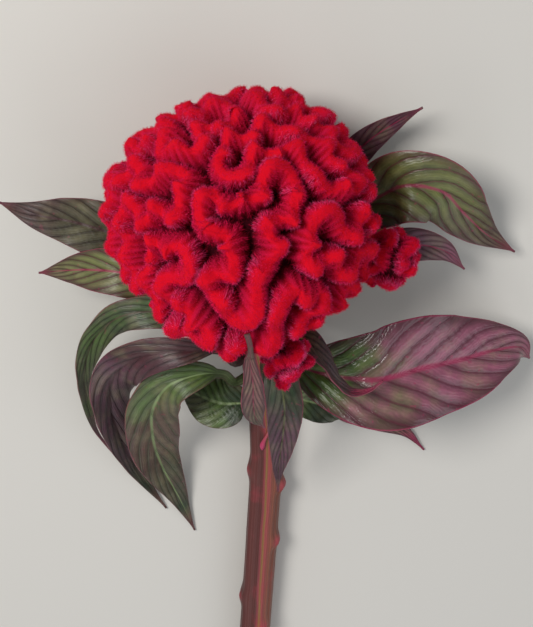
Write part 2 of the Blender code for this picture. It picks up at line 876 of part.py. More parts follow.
def leaf_middle(leaf, stations, columns):
    """The blade's middle surface as a grid, the normal at each point of it, and the share along the blade."""
    spine, side, normal = leaf_frame(leaf, stations)
    half, b = leaf_half_width(leaf, np.linspace(0.0, 1.0, stations))
    size, count, phase = leaf["wave"]
    grid = []
    for t in columns:
        swing = 2.0 * math.pi * (count * b + phase + 0.25 * t)
        lift = leaf["fold"] * abs(t) * half + size * t * t * np.sin(swing) * np.sin(math.pi * b)
        grid.append(spine + side * (t * half)[:, None] + normal * lift[:, None])
    grid = clear_of_crest(np.stack(grid, 1), leaf.get("crest_margin", CREST_MARGIN))
    grid[..., 2] = np.maximum(grid[..., 2], LEAF_THICKNESS / 2.0 + TABLE_GAP)
    return grid, unit(np.cross(np.gradient(grid, axis=1), np.gradient(grid, axis=0))), b


def clear_of_crest(grid, margin):
    """Moves what would be inside the main crest to just outside it."""
    local = (grid.reshape(-1, 3) - CREST_CENTRE) @ CREST_AXES.T
    size = np.linalg.norm(local, axis=1)
    towards = local / size[:, None]
    margin = margin + LEAF_THICKNESS / 2.0
    outside = envelope(MAIN_CREST, towards) + margin - size
    below = local[:, 2] + MAIN_CREST["base"] + margin
    inside = (outside > 0.0) & (below > 0.0)
    under = inside & (below < outside)
    beside = inside & ~under
    local[under, 2] -= below[under]
    local[beside] += (towards * outside[:, None])[beside]
    return (CREST_CENTRE + local @ CREST_AXES).reshape(grid.shape)


def leaf_mesh(name, leaf):
    grid, normals, _ = leaf_middle(leaf, LEAF_STATIONS, LEAF_COLUMNS)
    rows, columns = grid.shape[:2]
    top = grid + normals * LEAF_THICKNESS / 2.0
    bottom = grid - normals * LEAF_THICKNESS / 2.0
    points = np.concatenate([top.reshape(-1, 3), bottom.reshape(-1, 3)]) * MM
    under = rows * columns
    faces = []
    for i in range(rows - 1):
        for j in range(columns - 1):
            a, b = i * columns + j, i * columns + j + 1
            c, d = a + columns, b + columns
            faces += [(a, b, d), (a, d, c)]
            faces += [(a + under, d + under, b + under), (a + under, c + under, d + under)]
        for j in (0, columns - 1):
            a = i * columns + j
            faces += [(a, a + columns, a + columns + under), (a, a + columns + under, a + under)]
    for i in (0, rows - 1):
        for j in range(columns - 1):
            a = i * columns + j
            faces += [(a, a + 1, a + 1 + under), (a, a + 1 + under, a + under)]
    mesh = bpy.data.meshes.new(name)
    mesh.from_pydata([tuple(point) for point in points], [], faces)
    outward(mesh)
    return mesh


def make_leaves(green, wine):
    for name, leaf in LEAVES.items():
        add_object(name, leaf_mesh(name, leaf), wine if leaf.get("wine") else green)


def clear_scene():
    for made in list(bpy.data.objects):
        bpy.data.objects.remove(made)


def main():
    clear_scene()
    crimson = material("crest_velvet", (0.55, 0.01, 0.03), 0.8)
    make_main_crest(crimson)
    make_small_crest("side_crest", SIDE_CREST, crimson)
    make_small_crest("front_crest", FRONT_CREST, crimson)
    make_stem(material("stem_skin", (0.42, 0.2, 0.13), 0.55))
    green = material("leaf_green", (0.06, 0.12, 0.03), 0.4)
    wine = material("leaf_wine", (0.18, 0.05, 0.08), 0.4)
    make_leaves(green, wine)


main()
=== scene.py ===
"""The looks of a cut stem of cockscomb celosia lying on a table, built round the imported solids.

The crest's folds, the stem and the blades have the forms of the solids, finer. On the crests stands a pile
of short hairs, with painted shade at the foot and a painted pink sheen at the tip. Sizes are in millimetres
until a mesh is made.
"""

import math
import random

import bpy
import numpy as np
from mathutils import Matrix, Vector
from mathutils.kdtree import KDTree


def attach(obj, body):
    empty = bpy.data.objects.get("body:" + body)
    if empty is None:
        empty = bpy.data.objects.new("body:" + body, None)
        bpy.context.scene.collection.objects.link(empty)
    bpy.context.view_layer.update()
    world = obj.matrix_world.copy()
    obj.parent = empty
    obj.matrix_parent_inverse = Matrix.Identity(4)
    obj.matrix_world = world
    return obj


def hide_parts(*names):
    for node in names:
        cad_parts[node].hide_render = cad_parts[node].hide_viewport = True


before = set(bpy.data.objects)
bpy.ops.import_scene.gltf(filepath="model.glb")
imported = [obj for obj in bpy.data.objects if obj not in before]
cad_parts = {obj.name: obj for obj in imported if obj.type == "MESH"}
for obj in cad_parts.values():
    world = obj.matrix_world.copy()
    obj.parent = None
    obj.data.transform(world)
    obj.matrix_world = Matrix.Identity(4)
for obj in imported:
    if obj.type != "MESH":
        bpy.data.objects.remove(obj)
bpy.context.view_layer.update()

MM = 0.001

# The gap between the neck and the crest
CLEARANCE = 0.35

# The camera: its lean from straight down, its distance from the crest, how many mm a pixel spans there, and
# the pixel where the crest's centre stands
PHOTO_WIDTH = 533
PHOTO_HEIGHT = 627
CAMERA_LEAN = math.radians(22.0)
CAMERA_DISTANCE = 430.0
PIXEL_AT_CREST = 0.38
CREST_PIXEL = (243.0, 222.0)

# The floor's reach from the middle in mm, and the point in metres that the lights look at
FLOOR_REACH = 4000.0
LIGHT_AIM = (0.0, -0.04, 0.04)

# The crest's centre, and how far its axis rises from the table
CREST_CENTRE = np.array([0.0, -20.0, 46.4])
CREST_TILT = math.radians(30.0)

# The folds of every crest: how far they reach round it, where they start to fade before that and over how
# much, the step between the points of a line, and half the flat top and the sharpness of a fold
FOLD_LIMIT = math.radians(108.0)
RIM_START = 0.02
RIM_WIDTH = 0.12
LINE_STEP = 3.0
FOLD_TOP = 0.8
FOLD_SHARPNESS = 1.35

# The lip of each fold curls to one side and back along its ring, and dips between two curls
CURL_LENGTH = 20.0
CURL_DIP = 3.0
CURL_DRIFT = 0.02

# The growth of lines: how hard they pull on themselves, round themselves and push each other, from how far in
# spacings, the longest move in steps, the share of the time they lengthen, and how the first rings start
STIFFNESS = 0.35
ROUNDING = 0.2
PUSH = 0.6
PUSH_REACH = 1.25
LONGEST_MOVE = 0.4
GROWING_SHARE = 0.8
RING_POINTS = 12
RING_REACH = 0.45
CLOSE_POINTS = 3

# A crest: its dome (radii, height above its centre, droop and base below it, power for its roundness), its
# folds (depth, foot for half their width, lean, curl), and the growth of their lines on a ball (its radius,
# the lines' spacing, seed, rings, points and steps)
MAIN_CREST = {
    "radii": (51.5, 51.5), "height": 45, "droop": 26, "power": 2.3, "base": 12, "depth": 12.5, "foot": 5.9,
    "lean": 1.1, "curl": 3.3, "ball": 50, "spacing": 11.4, "seed": 11, "rings": 12, "points": 700,
    "steps": 260,
    # The lumps of the dome: azimuth (0 right, 90 down), angle from the axis, rise in mm, width in degrees
    "lumps": ((270, 92, 9, 32), (340, 80, 2, 26), (180, 75, 3, 30), (220, 75, -4, 20), (0, 95, -6, 13),
              (300, 35, 2, 25), (60, 70, 3, 26), (125, 80, -3.5, 24), (90, 97, 1.5, 30)),
}

# The two small crests, each on a stalk from its seat on the neck (height and angle) through points with radii
SIDE_CREST = {
    "centre": (55, -35.5, 44), "axis": (0.62, -0.05, 0.78), "radii": (12.5, 12.5), "height": 13, "droop": 8,
    "power": 2.2, "base": 5, "depth": 4.6, "foot": 3.9, "lean": 0.7, "curl": 1.4, "ball": 12.5,
    "spacing": 8, "seed": 4, "rings": 3, "points": 60, "steps": 120, "seat": (-29, 0),
    "lumps": ((30, 60, 2, 30), (200, 60, -1.5, 30)),
    "stalk": ((30, -46.5, 32, 3.3), (44, -41, 34, 3.3), (54.5, -36.6, 38, 5)),
}
FRONT_CREST = {
    "centre": (16.5, -65.5, 71), "axis": (0.12, -0.62, 0.78), "radii": (9.5, 12.5), "height": 10.5,
    "droop": 7, "power": 2.2, "base": 4.5, "depth": 4.2, "foot": 3.6, "lean": 0.6, "curl": 1.2, "ball": 11,
    "spacing": 7.6, "seed": 9, "rings": 2, "points": 48, "steps": 120, "seat": (-25, 62),
    "lumps": ((70, 60, 1.5, 30), (250, 60, 1, 30)),
    "stalk": ((11.5, -60, 55, 3.1), (15.5, -64.5, 66, 4.2)),
}

# The flat spot that carries the crest
REST_REACH = math.radians(13.0)

# The stem, from its cut end to the neck
STEM_RADIUS = 7.1
STEM_RIBS = 5
STEM_RIB_HEIGHT = 0.42
STEM_PATH = ((0, -282, 7.25), (3, -236, 8.4), (6.5, -180, 9.6), (8.5, -135, 11.6), (6.5, -100, 15),
             (2.5, -76, 19), (0, -56.4, 25.4))
STEM_STATIONS = 40
CUT_SLOPE = math.tan(math.radians(30.0))
CUT_REACH = 14.0
# Leaf scars and buds: distance from the cut end, angle round the stem, height, reach
SCARS = ((52, 60, 1.9, 3.8), (66, 170, 1.6, 4), (98, 20, 2, 3.8), (101, 250, 1.4, 4), (128, 10, 2.4, 3.8),
         (136, 165, 1.5, 4.5))

# The neck, which flares from the stem to the underside of the crest
NECK_RADIUS = 35.5
NECK_TOP = MAIN_CREST["base"] + CLEARANCE
NECK_BOTTOM = 42.0
NECK_STATIONS = 8
NECK_FLARE = 2.2
STALK_LIFT = 4.0
NECK_RIBS = 9
NECK_RIB_SHARE = 0.05

# The blades: thickness, petiole and tip, gaps to the stem, the table and the crest, and the way they face
LEAF_THICKNESS = 0.75
PETIOLE_HALF_WIDTH = 2.1
TIP_HALF_WIDTH = 0.45
FOOT_REACH = 3.5
FOOT_GAP = 0.75
TABLE_GAP = 0.05
CREST_MARGIN = 2.0
FACE_UP = np.array([0.0, 0.37, 0.93])

# The colours of the leaves
DARK_GREEN = (0.016, 0.034, 0.01)
MOSS = (0.06, 0.105, 0.02)
OLIVE = (0.11, 0.12, 0.035)
SAGE = (0.21, 0.19, 0.1)
UMBER = (0.075, 0.04, 0.024)
LODEN = (0.05, 0.045, 0.018)
CLAY = (0.16, 0.07, 0.065)
WINE = (0.05, 0.012, 0.016)
PLUM = (0.085, 0.03, 0.05)
ROSE = (0.22, 0.065, 0.105)
MAGENTA = (0.3, 0.014, 0.07)
PALE_GREEN = (0.22, 0.3, 0.12)
UNDERSIDE = (0.0925, 0.08, 0.0295)

# Each leaf's look: its colour at the base, in the middle and at the tip, its midrib, how red its rim is,
# its roughness. Then whether it is wine red, its foot on the stem (y, angle round it), half its width, where
# the blade starts and is widest along it, its V fold, its waves (height, count, start), how far it keeps
# from the crest, half its petiole's width, and the points of its midrib with a roll in degrees.
LEAVES = {
    "leaf_right_large": {
        "look": (MOSS, ROSE, ROSE, MAGENTA, 0.7, 0.26),
        "wine": True, "foot": (-84, 35), "half_width": 22, "blade": (0.1, 0.5), "fold": 0.16,
        "wave": (1.6, 2.6, 0.1),
        "path": ((24, -87, 33, 0), (39, -88, 40, -5), (55, -88, 42, -8), (72, -85, 38, -8),
                 (90, -84, 31, -5), (105, -83, 24, 0), (117, -85, 17, 10), (123, -93, 10, 15)),
    },
    "leaf_under_left": {
        "look": (DARK_GREEN, MOSS, DARK_GREEN, PALE_GREEN, 0.15, 0.4),
        "foot": (-107, 118), "half_width": 11, "blade": (0.08, 0.5), "fold": 0.12, "wave": (0.9, 2, 0.3),
        "path": ((-1, -107, 26, 0), (-10, -107, 26, -5), (-19, -105, 23, 0), (-29, -102, 18, 5)),
    },
    "leaf_under_right": {
        "look": (MOSS, DARK_GREEN, MOSS, PALE_GREEN, 0.1, 0.45),
        "foot": (-104, 20), "half_width": 8, "blade": (0.08, 0.5), "fold": 0.15, "wave": (0.8, 2, 0),
        "path": ((21, -106, 20, 0), (31, -110, 20, -8), (41, -113, 17, -5), (51, -117, 12, 0)),
    },
    "bract_front": {
        "look": (CLAY, CLAY, UMBER, MAGENTA, 0.9, 0.5),
        "wine": True, "crest_margin": -1.4, "half_width": 4.6, "petiole": 1, "blade": (0.02, 0.6),
        "fold": 0.35, "wave": (0.3, 1.5, 0),
        "path": ((2, -42, 94, 0), (3, -47, 93, 0), (3, -57, 91, 0), (4, -68, 87, 0), (4, -80, 79, 0),
                 (5, -92, 69, -15), (8, -100, 61, -30)),
    },
    "leaf_front_down": {
        "look": (DARK_GREEN, PLUM, PLUM, OLIVE, 0.5, 0.5),
        "wine": True, "foot": (-70, 75), "half_width": 7.5, "blade": (0.16, 0.35), "fold": 0.45,
        "wave": (0.5, 2, 0.2),
        "path": ((8, -74, 38, 0), (14, -84, 49, 0), (16, -95, 50, 0), (16, -108, 45, 0),
                 (15, -123, 38, 0), (14, -138, 31, 0), (14, -150, 26, 0)),
    },
    "leaf_curl_right": {
        "look": (MOSS, WINE, MAGENTA, WINE, 0.8, 0.4),
        "foot": (-68, 50), "half_width": 5, "blade": (0.2, 0.45), "fold": 0.3, "wave": (0.5, 2, 0),
        "path": ((13, -67, 43, 0), (24, -66, 52, 25), (31, -73, 57, 45), (37, -83, 57, 60),
                 (43, -88, 55, 50), (50, -87, 54, 30), (55, -83, 54, 10)),
    },
    "leaf_left_upper": {
        "look": (MOSS, LODEN, WINE, WINE, 0.35, 0.55),
        "foot": (-60, 195), "half_width": 11.5, "blade": (0.25, 0.55), "fold": 0.14,
        "wave": (0.9, 2.2, 0.4),
        "path": ((-20, -50, 23, 0), (-38, -39, 25, 0), (-55, -30, 27, 5), (-68, -26, 27, 5),
                 (-83, -23, 27, 0), (-98, -19, 23, 0)),
    },
    "leaf_left_mid": {
        "look": (DARK_GREEN, OLIVE, UMBER, MAGENTA, 0.7, 0.5),
        "foot": (-66, 168), "half_width": 9.5, "blade": (0.2, 0.55), "fold": 0.16, "wave": (0.8, 2.5, 0),
        "path": ((-19, -57, 32, 0), (-34, -48, 38, 5), (-48, -42, 42, 8), (-62, -43, 36, 5),
                 (-74, -46, 29, 0), (-84, -49, 23, 0)),
    },
    "leaf_left_arch": {
        "look": (DARK_GREEN, MOSS, PLUM, UMBER, 0.35, 0.45),
        "foot": (-76, 150), "half_width": 6.6, "blade": (0.12, 0.3), "fold": 0.25, "wave": (1, 3, 0),
        "path": ((-17, -66, 38, 0), (-31, -57, 46, 5), (-46, -58, 46, 15), (-59, -70, 37, 30),
                 (-68, -92, 24, 40), (-70, -116, 11, 35), (-68, -132, 4, 25), (-62, -144, 1, 10)),
    },
    "leaf_low_left_dark": {
        "look": (WINE, PLUM, DARK_GREEN, WINE, 0.3, 0.45),
        "wine": True, "foot": (-84, 125), "half_width": 9.5, "blade": (0.14, 0.5), "fold": 0.25,
        "wave": (1, 3, 0.5),
        "path": ((-10, -76, 40, 0), (-22, -71, 52, 5), (-38, -74, 50, 15), (-53, -88, 37, 30),
                 (-58, -110, 24, 40), (-54, -136, 13, 35), (-47, -158, 4, 25), (-38, -174, 1, 10)),
    },
    "leaf_low_left_striped": {
        "look": (MOSS, UMBER, DARK_GREEN, PALE_GREEN, 0.4, 0.45),
        "foot": (-93, 140), "half_width": 11.5, "blade": (0.14, 0.5), "fold": 0.2, "wave": (1, 3, 0.2),
        "path": ((-9, -89, 35, 0), (-18, -85, 44, 0), (-29, -88, 46, 5), (-37, -100, 40, 15),
                 (-40, -121, 28, 20), (-38, -144, 14, 20), (-31, -168, 4, 10), (-25, -186, 1, 0)),
    },
    "leaf_back_right": {
        "look": (DARK_GREEN, OLIVE, UMBER, MAGENTA, 0.6, 0.42),
        "foot": (-60, -15), "half_width": 14, "blade": (0.22, 0.55), "fold": 0.3, "wave": (1.4, 2.5, 0),
        "path": ((22, -45, 15, 0), (40, -31, 14, 0), (55, -18, 17.5, -5), (65, -11, 27, -12),
                 (77, -13, 27, -20), (89, -25, 20, -20), (100, -36, 13, -10), (113, -45, 8, 0)),
    },
    "leaf_right_mid": {
        "look": (UMBER, PLUM, ROSE, MAGENTA, 0.7, 0.5),
        "wine": True, "foot": (-64, 10), "half_width": 7.5, "blade": (0.3, 0.6), "fold": 0.2,
        "wave": (0.8, 2, 0),
        "path": ((22, -54, 24, 0), (40, -45, 26, 0), (58, -37, 28, 0), (70, -35, 29, 0), (80, -38, 27, 0),
                 (90, -48, 21, 0)),
    },
    "leaf_top_right": {
        "look": (WINE, PLUM, PLUM, MAGENTA, 0.4, 0.5),
        "wine": True, "foot": (-58, -50), "half_width": 6.5, "blade": (0.3, 0.6), "fold": 0.2,
        "wave": (0.5, 2, 0),
        "path": ((16, -40, 10, 0), (34, -18, 3, 0), (50, 2, 8, 0), (62, 13, 17, 0), (69, 19, 24, 0)),
    },
    "leaf_low_right_tip": {
        "look": (UMBER, UMBER, MAGENTA, WINE, 0.9, 0.5),
        "wine": True, "foot": (-95, -10), "half_width": 5.5, "blade": (0.15, 0.5), "fold": 0.2,
        "wave": (0.6, 2, 0),
        "path": ((24, -106, 8, 0), (42, -119, 5, 0), (60, -127, 4, 0), (72, -133, 2.5, 0),
                 (81, -143, 1, 0)),
    },
}

# Finer than the solids: points along the edge of each face of a crest's ball, stations and sides
MAIN_BALL = 118
SMALL_BALL = 42
FINE_STEM_STATIONS = 150
FINE_NECK_STATIONS = 34
FINE_STEM_SIDES = 132
FINE_LEAF_STATIONS = 72
FINE_LEAF_COLUMNS = 27
STALK_SIDES = 24
STALK_STATIONS = 30

# Fine ribs round the stem and the neck, and how high they stand in mm
STEM_FINE_RIBS = 15.0
STEM_FINE_RISE = 0.12
NECK_FINE_RIBS = 25.0
NECK_FINE_RISE = 0.9

# A bud leaf on the stem: points and radii in mm
BUD_LEAF = ((10.5, -122, 18.6, 0.5), (9.6, -124.5, 20.6, 0.55), (8, -128, 20.4, 0.8),
            (7.3, -131, 19.7, 1.1), (7.1, -133.2, 19, 0.4))
BUD_LEAF_STATIONS = 28

# The small waves along the flanks of a fold, in mm: how far apart and how deep
FLUTE_LENGTH = 2.4
FLUTE_DEPTH = 0.42

# The pile: how many hairs and in how many pieces, their length and foot in mm, and how they lean
MAIN_HAIRS = 126000
MAIN_PIECES = 3
SMALL_HAIRS = 9000
GROOVE_HAIRS = 0.12
HAIR_SHORT = 0.8
HAIR_LONG = 1.9
HAIR_FOOT = 0.1
HAIR_SUNK = 0.25
HAIR_SCATTER = 0.2
HAIR_FLOOR = 0.1
OUTER_LENGTH = 0.35
HAIR_SEED = 5

# The tone of a hair, from 0 (dark) to 1 (pale pink): at the foot of a fold, then what its place adds. It
# carries painted light: a painted highlight on the fold tops, a pink painted sheen on the flanks, outer
# flanks and flute crests, and painted shade in the grooves.
TONE = 0.32
TOP_HIGHLIGHT_TONE = 0.18
FLANK_SHEEN_TONE = 0.3
OUTER_SHEEN_TONE = 0.5
FLUTE_SHEEN_TONE = 0.19
TONE_SCATTER = 0.07
TONE_STEPS = 62.0
TONE_LIMITS = (0.02, 0.98)
TONE_MAP = "OFBake"
MAP_TIP = 0.97

# The relief of a blade, in mm. The bract's upper end is tucked under the pile.
VEIN_PAIRS = 9.0
VEIN_SWEEP = 2.5
VEIN_WIDTH = 0.16
VEIN_DEPTH = 0.22
QUILT_RISE = 0.42
MIDRIB_HALF_WIDTH = 0.9
MIDRIB_DEPTH = 0.45
MIDRIB_BELOW = 0.6
RUFFLE = 0.3
RUFFLES = 8.0
TUCK = 1.4


def unit(vector):
    vector = np.asarray(vector, float)
    return vector / np.linalg.norm(vector, axis=-1, keepdims=True)


def smooth_step(x):
    x = np.clip(x, 0.0, 1.0)
    return x * x * (3.0 - 2.0 * x)


def smooth_path(points, count):
    """Evenly spaced points on a smooth curve through the given ones."""
    points = np.asarray(points, float)
    knots = np.concatenate([[0.0], np.cumsum(np.linalg.norm(np.diff(points[:, :3], axis=0), axis=1))])
    slopes = np.gradient(points, knots, axis=0)
    where = np.linspace(0.0, knots[-1], count)
    i = np.clip(np.searchsorted(knots, where, side="right") - 1, 0, len(points) - 2)
    span = (knots[i + 1] - knots[i])[:, None]
    t = (where - knots[i])[:, None] / span
    return (
        (1 + 2 * t) * (1 - t) ** 2 * points[i]
        + t * (1 - t) ** 2 * span * slopes[i]
        + t * t * (3 - 2 * t) * points[i + 1]
        + t * t * (t - 1) * span * slopes[i + 1]
    )


def axes_towards(axis):
    """Rows: across the axis, across both, and along it."""
    along = unit(axis)
    across = unit(np.cross([0.0, 1.0, 0.0], along))
    if abs(along[0]) < 1e-9:
        across = np.array([1.0, 0.0, 0.0])
    return np.array([across, np.cross(along, across), along])


CREST_AXES = axes_towards((0.0, math.cos(CREST_TILT), math.sin(CREST_TILT)))


def direction(azimuth, polar):
    azimuth, polar = math.radians(azimuth), math.radians(polar)
    across = math.sin(polar)
    return np.array([across * math.cos(azimuth), across * math.sin(azimuth), math.cos(polar)])


def start_rings(shape, rng):
    """Small wavy rings spread evenly over the dome."""
    rings = []
    golden = math.pi * (3.0 - math.sqrt(5.0))
    for k in range(shape["rings"]):
        height = 1.0 - (k + 0.5) / shape["rings"] * (1.0 - math.cos(FOLD_LIMIT)) * 0.94
        centre = direction(math.degrees(golden * k), math.degrees(math.acos(height)))
        side = unit(np.cross(centre, [0.3, 0.5, 0.8]))
        other = np.cross(centre, side)
        ring = []
        for i in range(RING_POINTS):
            turn = 2.0 * math.pi * i / RING_POINTS
            reach = RING_REACH * shape["spacing"] / shape["ball"] * rng.uniform(0.7, 1.4)
            ring.append(centre + reach * (math.cos(turn) * side + math.sin(turn) * other))
        rings.append(unit(ring))
    return rings


def near_pairs(points, ring_of, reach):
    """Pairs of points that push each other apart, leaving out close neighbours on one ring."""
    first, second = np.nonzero(points @ points.T > math.cos(reach))
    keep = first < second
    first, second = first[keep], second[keep]
    same = ring_of[:, 0][first] == ring_of[:, 0][second]
    apart = np.abs(first - second)
    apart = np.minimum(apart, ring_of[:, 1][first] - apart)
    keep = ~same | (apart > CLOSE_POINTS)
    return first[keep], second[keep]


def lengthen(rings, rng):
    """Adds one point to a ring, at random."""
    k = rng.choices(range(len(rings)), [len(ring) for ring in rings])[0]
    i = rng.randrange(len(rings[k]))
    middle = (rings[k][i] + rings[k][(i + 1) % len(rings[k])]) / 2.0
    rings[k] = np.insert(rings[k], i + 1, middle, 0)


def ring_starts(rings):
    return np.concatenate([[0], np.cumsum([len(ring) for ring in rings])[:-1]])


def neighbours(rings):
    """For all points in one list: the next one, the one before, and the start and size of the ring."""
    sizes = [len(ring) for ring in rings]
    ring_of = np.repeat(np.stack([ring_starts(rings), sizes], 1), sizes, 0)
    order = np.arange(sum(sizes))
    after = np.where(order + 1 < ring_of.sum(1), order + 1, ring_of[:, 0])
    before = np.where(order > ring_of[:, 0], order - 1, ring_of.sum(1) - 1)
    return after, before, ring_of


def moved(points, after, before, pairs, step, reach):
    """One step of growth: a line pulls on itself and rounds itself, and near lines push each other away."""
    ahead = points[after] - points
    length = np.linalg.norm(ahead, axis=1, keepdims=True) + 1e-12
    pull = ahead / length * (length - step)
    move = STIFFNESS * (pull - pull[before])
    move += ROUNDING * ((points[after] + points[before]) / 2.0 - points)
    first, second = pairs
    apart = points[first] - points[second]
    distance = np.linalg.norm(apart, axis=1, keepdims=True) + 1e-12
    push = apart / distance * np.maximum(0.0, 1.0 - distance / reach) * step * PUSH
    for axis in range(3):
        move[:, axis] += np.bincount(first, push[:, axis], len(points))
        move[:, axis] -= np.bincount(second, push[:, axis], len(points))
    move[:, 2] += np.maximum(0.0, math.cos(FOLD_LIMIT) - points[:, 2]) * PUSH
    size = np.linalg.norm(move, axis=1, keepdims=True)
    move *= np.minimum(1.0, LONGEST_MOVE * step / np.maximum(size, 1e-12))
    return np.round(unit(points + move), 9)


def grow_folds(shape):
    """The edge of a crest: rings on a unit dome that lengthen and push each other until they fill it."""
    rng = random.Random(shape["seed"])
    rings = start_rings(shape, rng)
    step = LINE_STEP / shape["ball"]
    reach = PUSH_REACH * shape["spacing"] / shape["ball"]
    each = (shape["points"] - shape["rings"] * RING_POINTS) / (GROWING_SHARE * shape["steps"])
    due = 0.0
    for turn in range(shape["steps"]):
        added = False
        due += each if sum(len(ring) for ring in rings) < shape["points"] else 0.0
        while due >= 1.0:
            due -= 1.0
            added = True
            lengthen(rings, rng)
        points = np.concatenate(rings)
        after, before, ring_of = neighbours(rings)
        if added or turn % 4 == 0:
            pairs = near_pairs(points, ring_of, 1.2 * reach)
        points = moved(points, after, before, pairs, step, reach)
        rings = [points[start : start + len(ring)] for start, ring in zip(ring_starts(rings), rings)]
    return [rounded(ring) for ring in rings]


def rounded(ring):
    """A ring with its corners cut twice."""
    for _ in range(2):
        after = np.roll(ring, -1, 0)
        ring = unit(np.stack([0.75 * ring + 0.25 * after, 0.25 * ring + 0.75 * after], 1).reshape(-1, 3))
    return ring


def ring_fields(rings):
    """For every point of the rings: the step to the next, its place along the ring and the ring's length."""
    steps = [np.roll(ring, -1, 0) - ring for ring in rings]
    places = [np.arange(len(ring)) / len(ring) for ring in rings]
    lengths = [np.full(len(step), np.linalg.norm(step, axis=1).sum()) for step in steps]
    return np.concatenate(steps), np.concatenate(places), np.concatenate(lengths)


def envelope(shape, towards):
    """Distance from a crest's centre to the tops of its folds, for unit vectors in its own axes."""
    across = np.hypot(towards[:, 0] / shape["radii"][0], towards[:, 1] / shape["radii"][1])
    along = np.abs(towards[:, 2]) / np.where(towards[:, 2] > 0, shape["height"], shape["droop"])
    reach = (across ** shape["power"] + along ** shape["power"]) ** (-1.0 / shape["power"])
    for azimuth, polar, rise, width in shape["lumps"]:
        angle = np.arccos(np.clip(towards @ direction(azimuth, polar), -1.0, 1.0))
        reach = reach + rise * np.exp(-((angle / math.radians(width)) ** 2))
    return reach


def dome_share(towards):
    """1 where a crest folds, fading to 0 at the rim of its dome."""
    polar = np.arccos(np.clip(towards[:, 2], -1.0, 1.0))
    return 1.0 - smooth_step((polar - FOLD_LIMIT + RIM_START) / RIM_WIDTH)


def curl_wave(place, length):
    """How far the lip leans to one side along its ring, from -1 to 1, in whole waves of uneven length."""
    waves = np.maximum(2.0, np.round(length / CURL_LENGTH))
    drifted = place + CURL_DRIFT * np.sin(6.0 * math.pi * place + length)
    return np.sin(2.0 * math.pi * waves * drifted)


def crest_form(shape, towards, nearest, solid_spot=None):
    """A crest's surface round its own centre, and for each point how it lies on its fold."""
    angle, foot, place, length, step = nearest
    distance = angle * shape["ball"]
    profile = (1.0 - smooth_step((distance - FOLD_TOP) / (shape["foot"] - FOLD_TOP))) ** FOLD_SHARPNESS
    fade = dome_share(towards)
    free = fade
    if solid_spot is not None:
        to_spot = np.arccos(np.clip(towards @ solid_spot, -1.0, 1.0))
        spot = 1.0 - smooth_step((to_spot / REST_REACH - 1.0) * 2.0)
        profile = np.maximum(profile, spot)
        free = fade * (1.0 - spot)
    curl = curl_wave(place, length * shape["ball"])
    reach = envelope(shape, towards) - shape["depth"] * (1.0 - profile) * fade
    reach = reach - CURL_DIP * (1.0 - curl**2) * profile * free
    away = towards - foot
    away = away / (np.linalg.norm(away, axis=1, keepdims=True) + 1e-9)
    lean = shape["lean"] * np.sin(math.pi * np.clip(distance / shape["foot"], 0.0, 1.0)) * fade
    aside = unit(np.cross(foot, step) + 1e-12) * (shape["curl"] * curl * profile * free)[:, None]
    points = towards * reach[:, None] + away * lean[:, None] + aside
    points[:, 2] = np.maximum(points[:, 2], -shape["base"])
    return points, away, distance, profile, free, curl


def frames_along(path):
    """Tangents of a path, and for each point a right and an up direction across it."""
    tangents = unit(np.gradient(path, axis=0))
    right = unit(np.cross(tangents, [0.0, 0.0, 1.0]))
    return tangents, right, np.cross(right, tangents)


def stem_path(stem_stations=STEM_STATIONS, neck_stations=NECK_STATIONS):
    """Points along the stem and up the neck, their distance from the cut end, and their share up the neck."""
    stem = smooth_path(STEM_PATH, stem_stations)
    heights = np.linspace(-NECK_BOTTOM, -NECK_TOP, neck_stations + 1)[1:]
    neck = CREST_CENTRE + heights[:, None] * CREST_AXES[2]
    path = np.concatenate([stem, neck])
    run = np.concatenate([[0.0], np.cumsum(np.linalg.norm(np.diff(path, axis=0), axis=1))])
    share = np.concatenate([np.zeros(stem_stations), (heights + NECK_BOTTOM) / (NECK_BOTTOM - NECK_TOP)])
    return path, run, share


def neck_reach(share, turn):
    """From the axis to the skin, for a share of the way up the neck: 0 on the stem, 1 under the crest."""
    plain = STEM_RADIUS + (NECK_RADIUS - STEM_RADIUS) * share**NECK_FLARE
    ribs = STEM_RIB_HEIGHT * math.cos(STEM_RIBS * turn) * (1.0 - share)
    return plain + ribs + NECK_RIB_SHARE * plain * math.cos(NECK_RIBS * turn) * share


def stem_reach(distance, share, turn):
    """From the axis to the skin, with the scars and buds."""
    bumps = 0.0
    for place, angle, height, reach in SCARS:
        side = (turn - math.radians(angle) + math.pi) % (2.0 * math.pi) - math.pi
        gap = math.hypot(distance - place, side * STEM_RADIUS)
        bumps += height * math.exp(-((gap / reach) ** 2))
    return neck_reach(share, turn) + bumps


def neck_seat(height, angle):
    """A point on the neck and the way out. The angle is 0 on the right and 90 above, as on the stem."""
    share = (height + NECK_BOTTOM) / (NECK_BOTTOM - NECK_TOP)
    turn = math.radians(angle)
    reach = neck_reach(share, turn)
    rise = (neck_reach(share + 0.01, turn) - reach) / (0.01 * (NECK_BOTTOM - NECK_TOP))
    radial = math.cos(turn) * CREST_AXES[0] - math.sin(turn) * CREST_AXES[1]
    return CREST_CENTRE + reach * radial + height * CREST_AXES[2], unit(radial - rise * CREST_AXES[2])


def cut_shift(distance, height):
    """How far a point near the end moves along the stem, so that the cut slopes."""
    return -CUT_SLOPE * height * max(0.0, 1.0 - distance / CUT_REACH)


def stem_foot(y, angle):
    """A point just off the stem's side, and the way out from it."""
    path, run, _ = stem_path()
    k = int(np.abs(path[:STEM_STATIONS, 1] - y).argmin())
    _, right, up = frames_along(path)
    turn = math.radians(angle)
    out = math.cos(turn) * right[k] + math.sin(turn) * up[k]
    return path[k] + out * (stem_reach(run[k], 0.0, turn) + FOOT_GAP), out


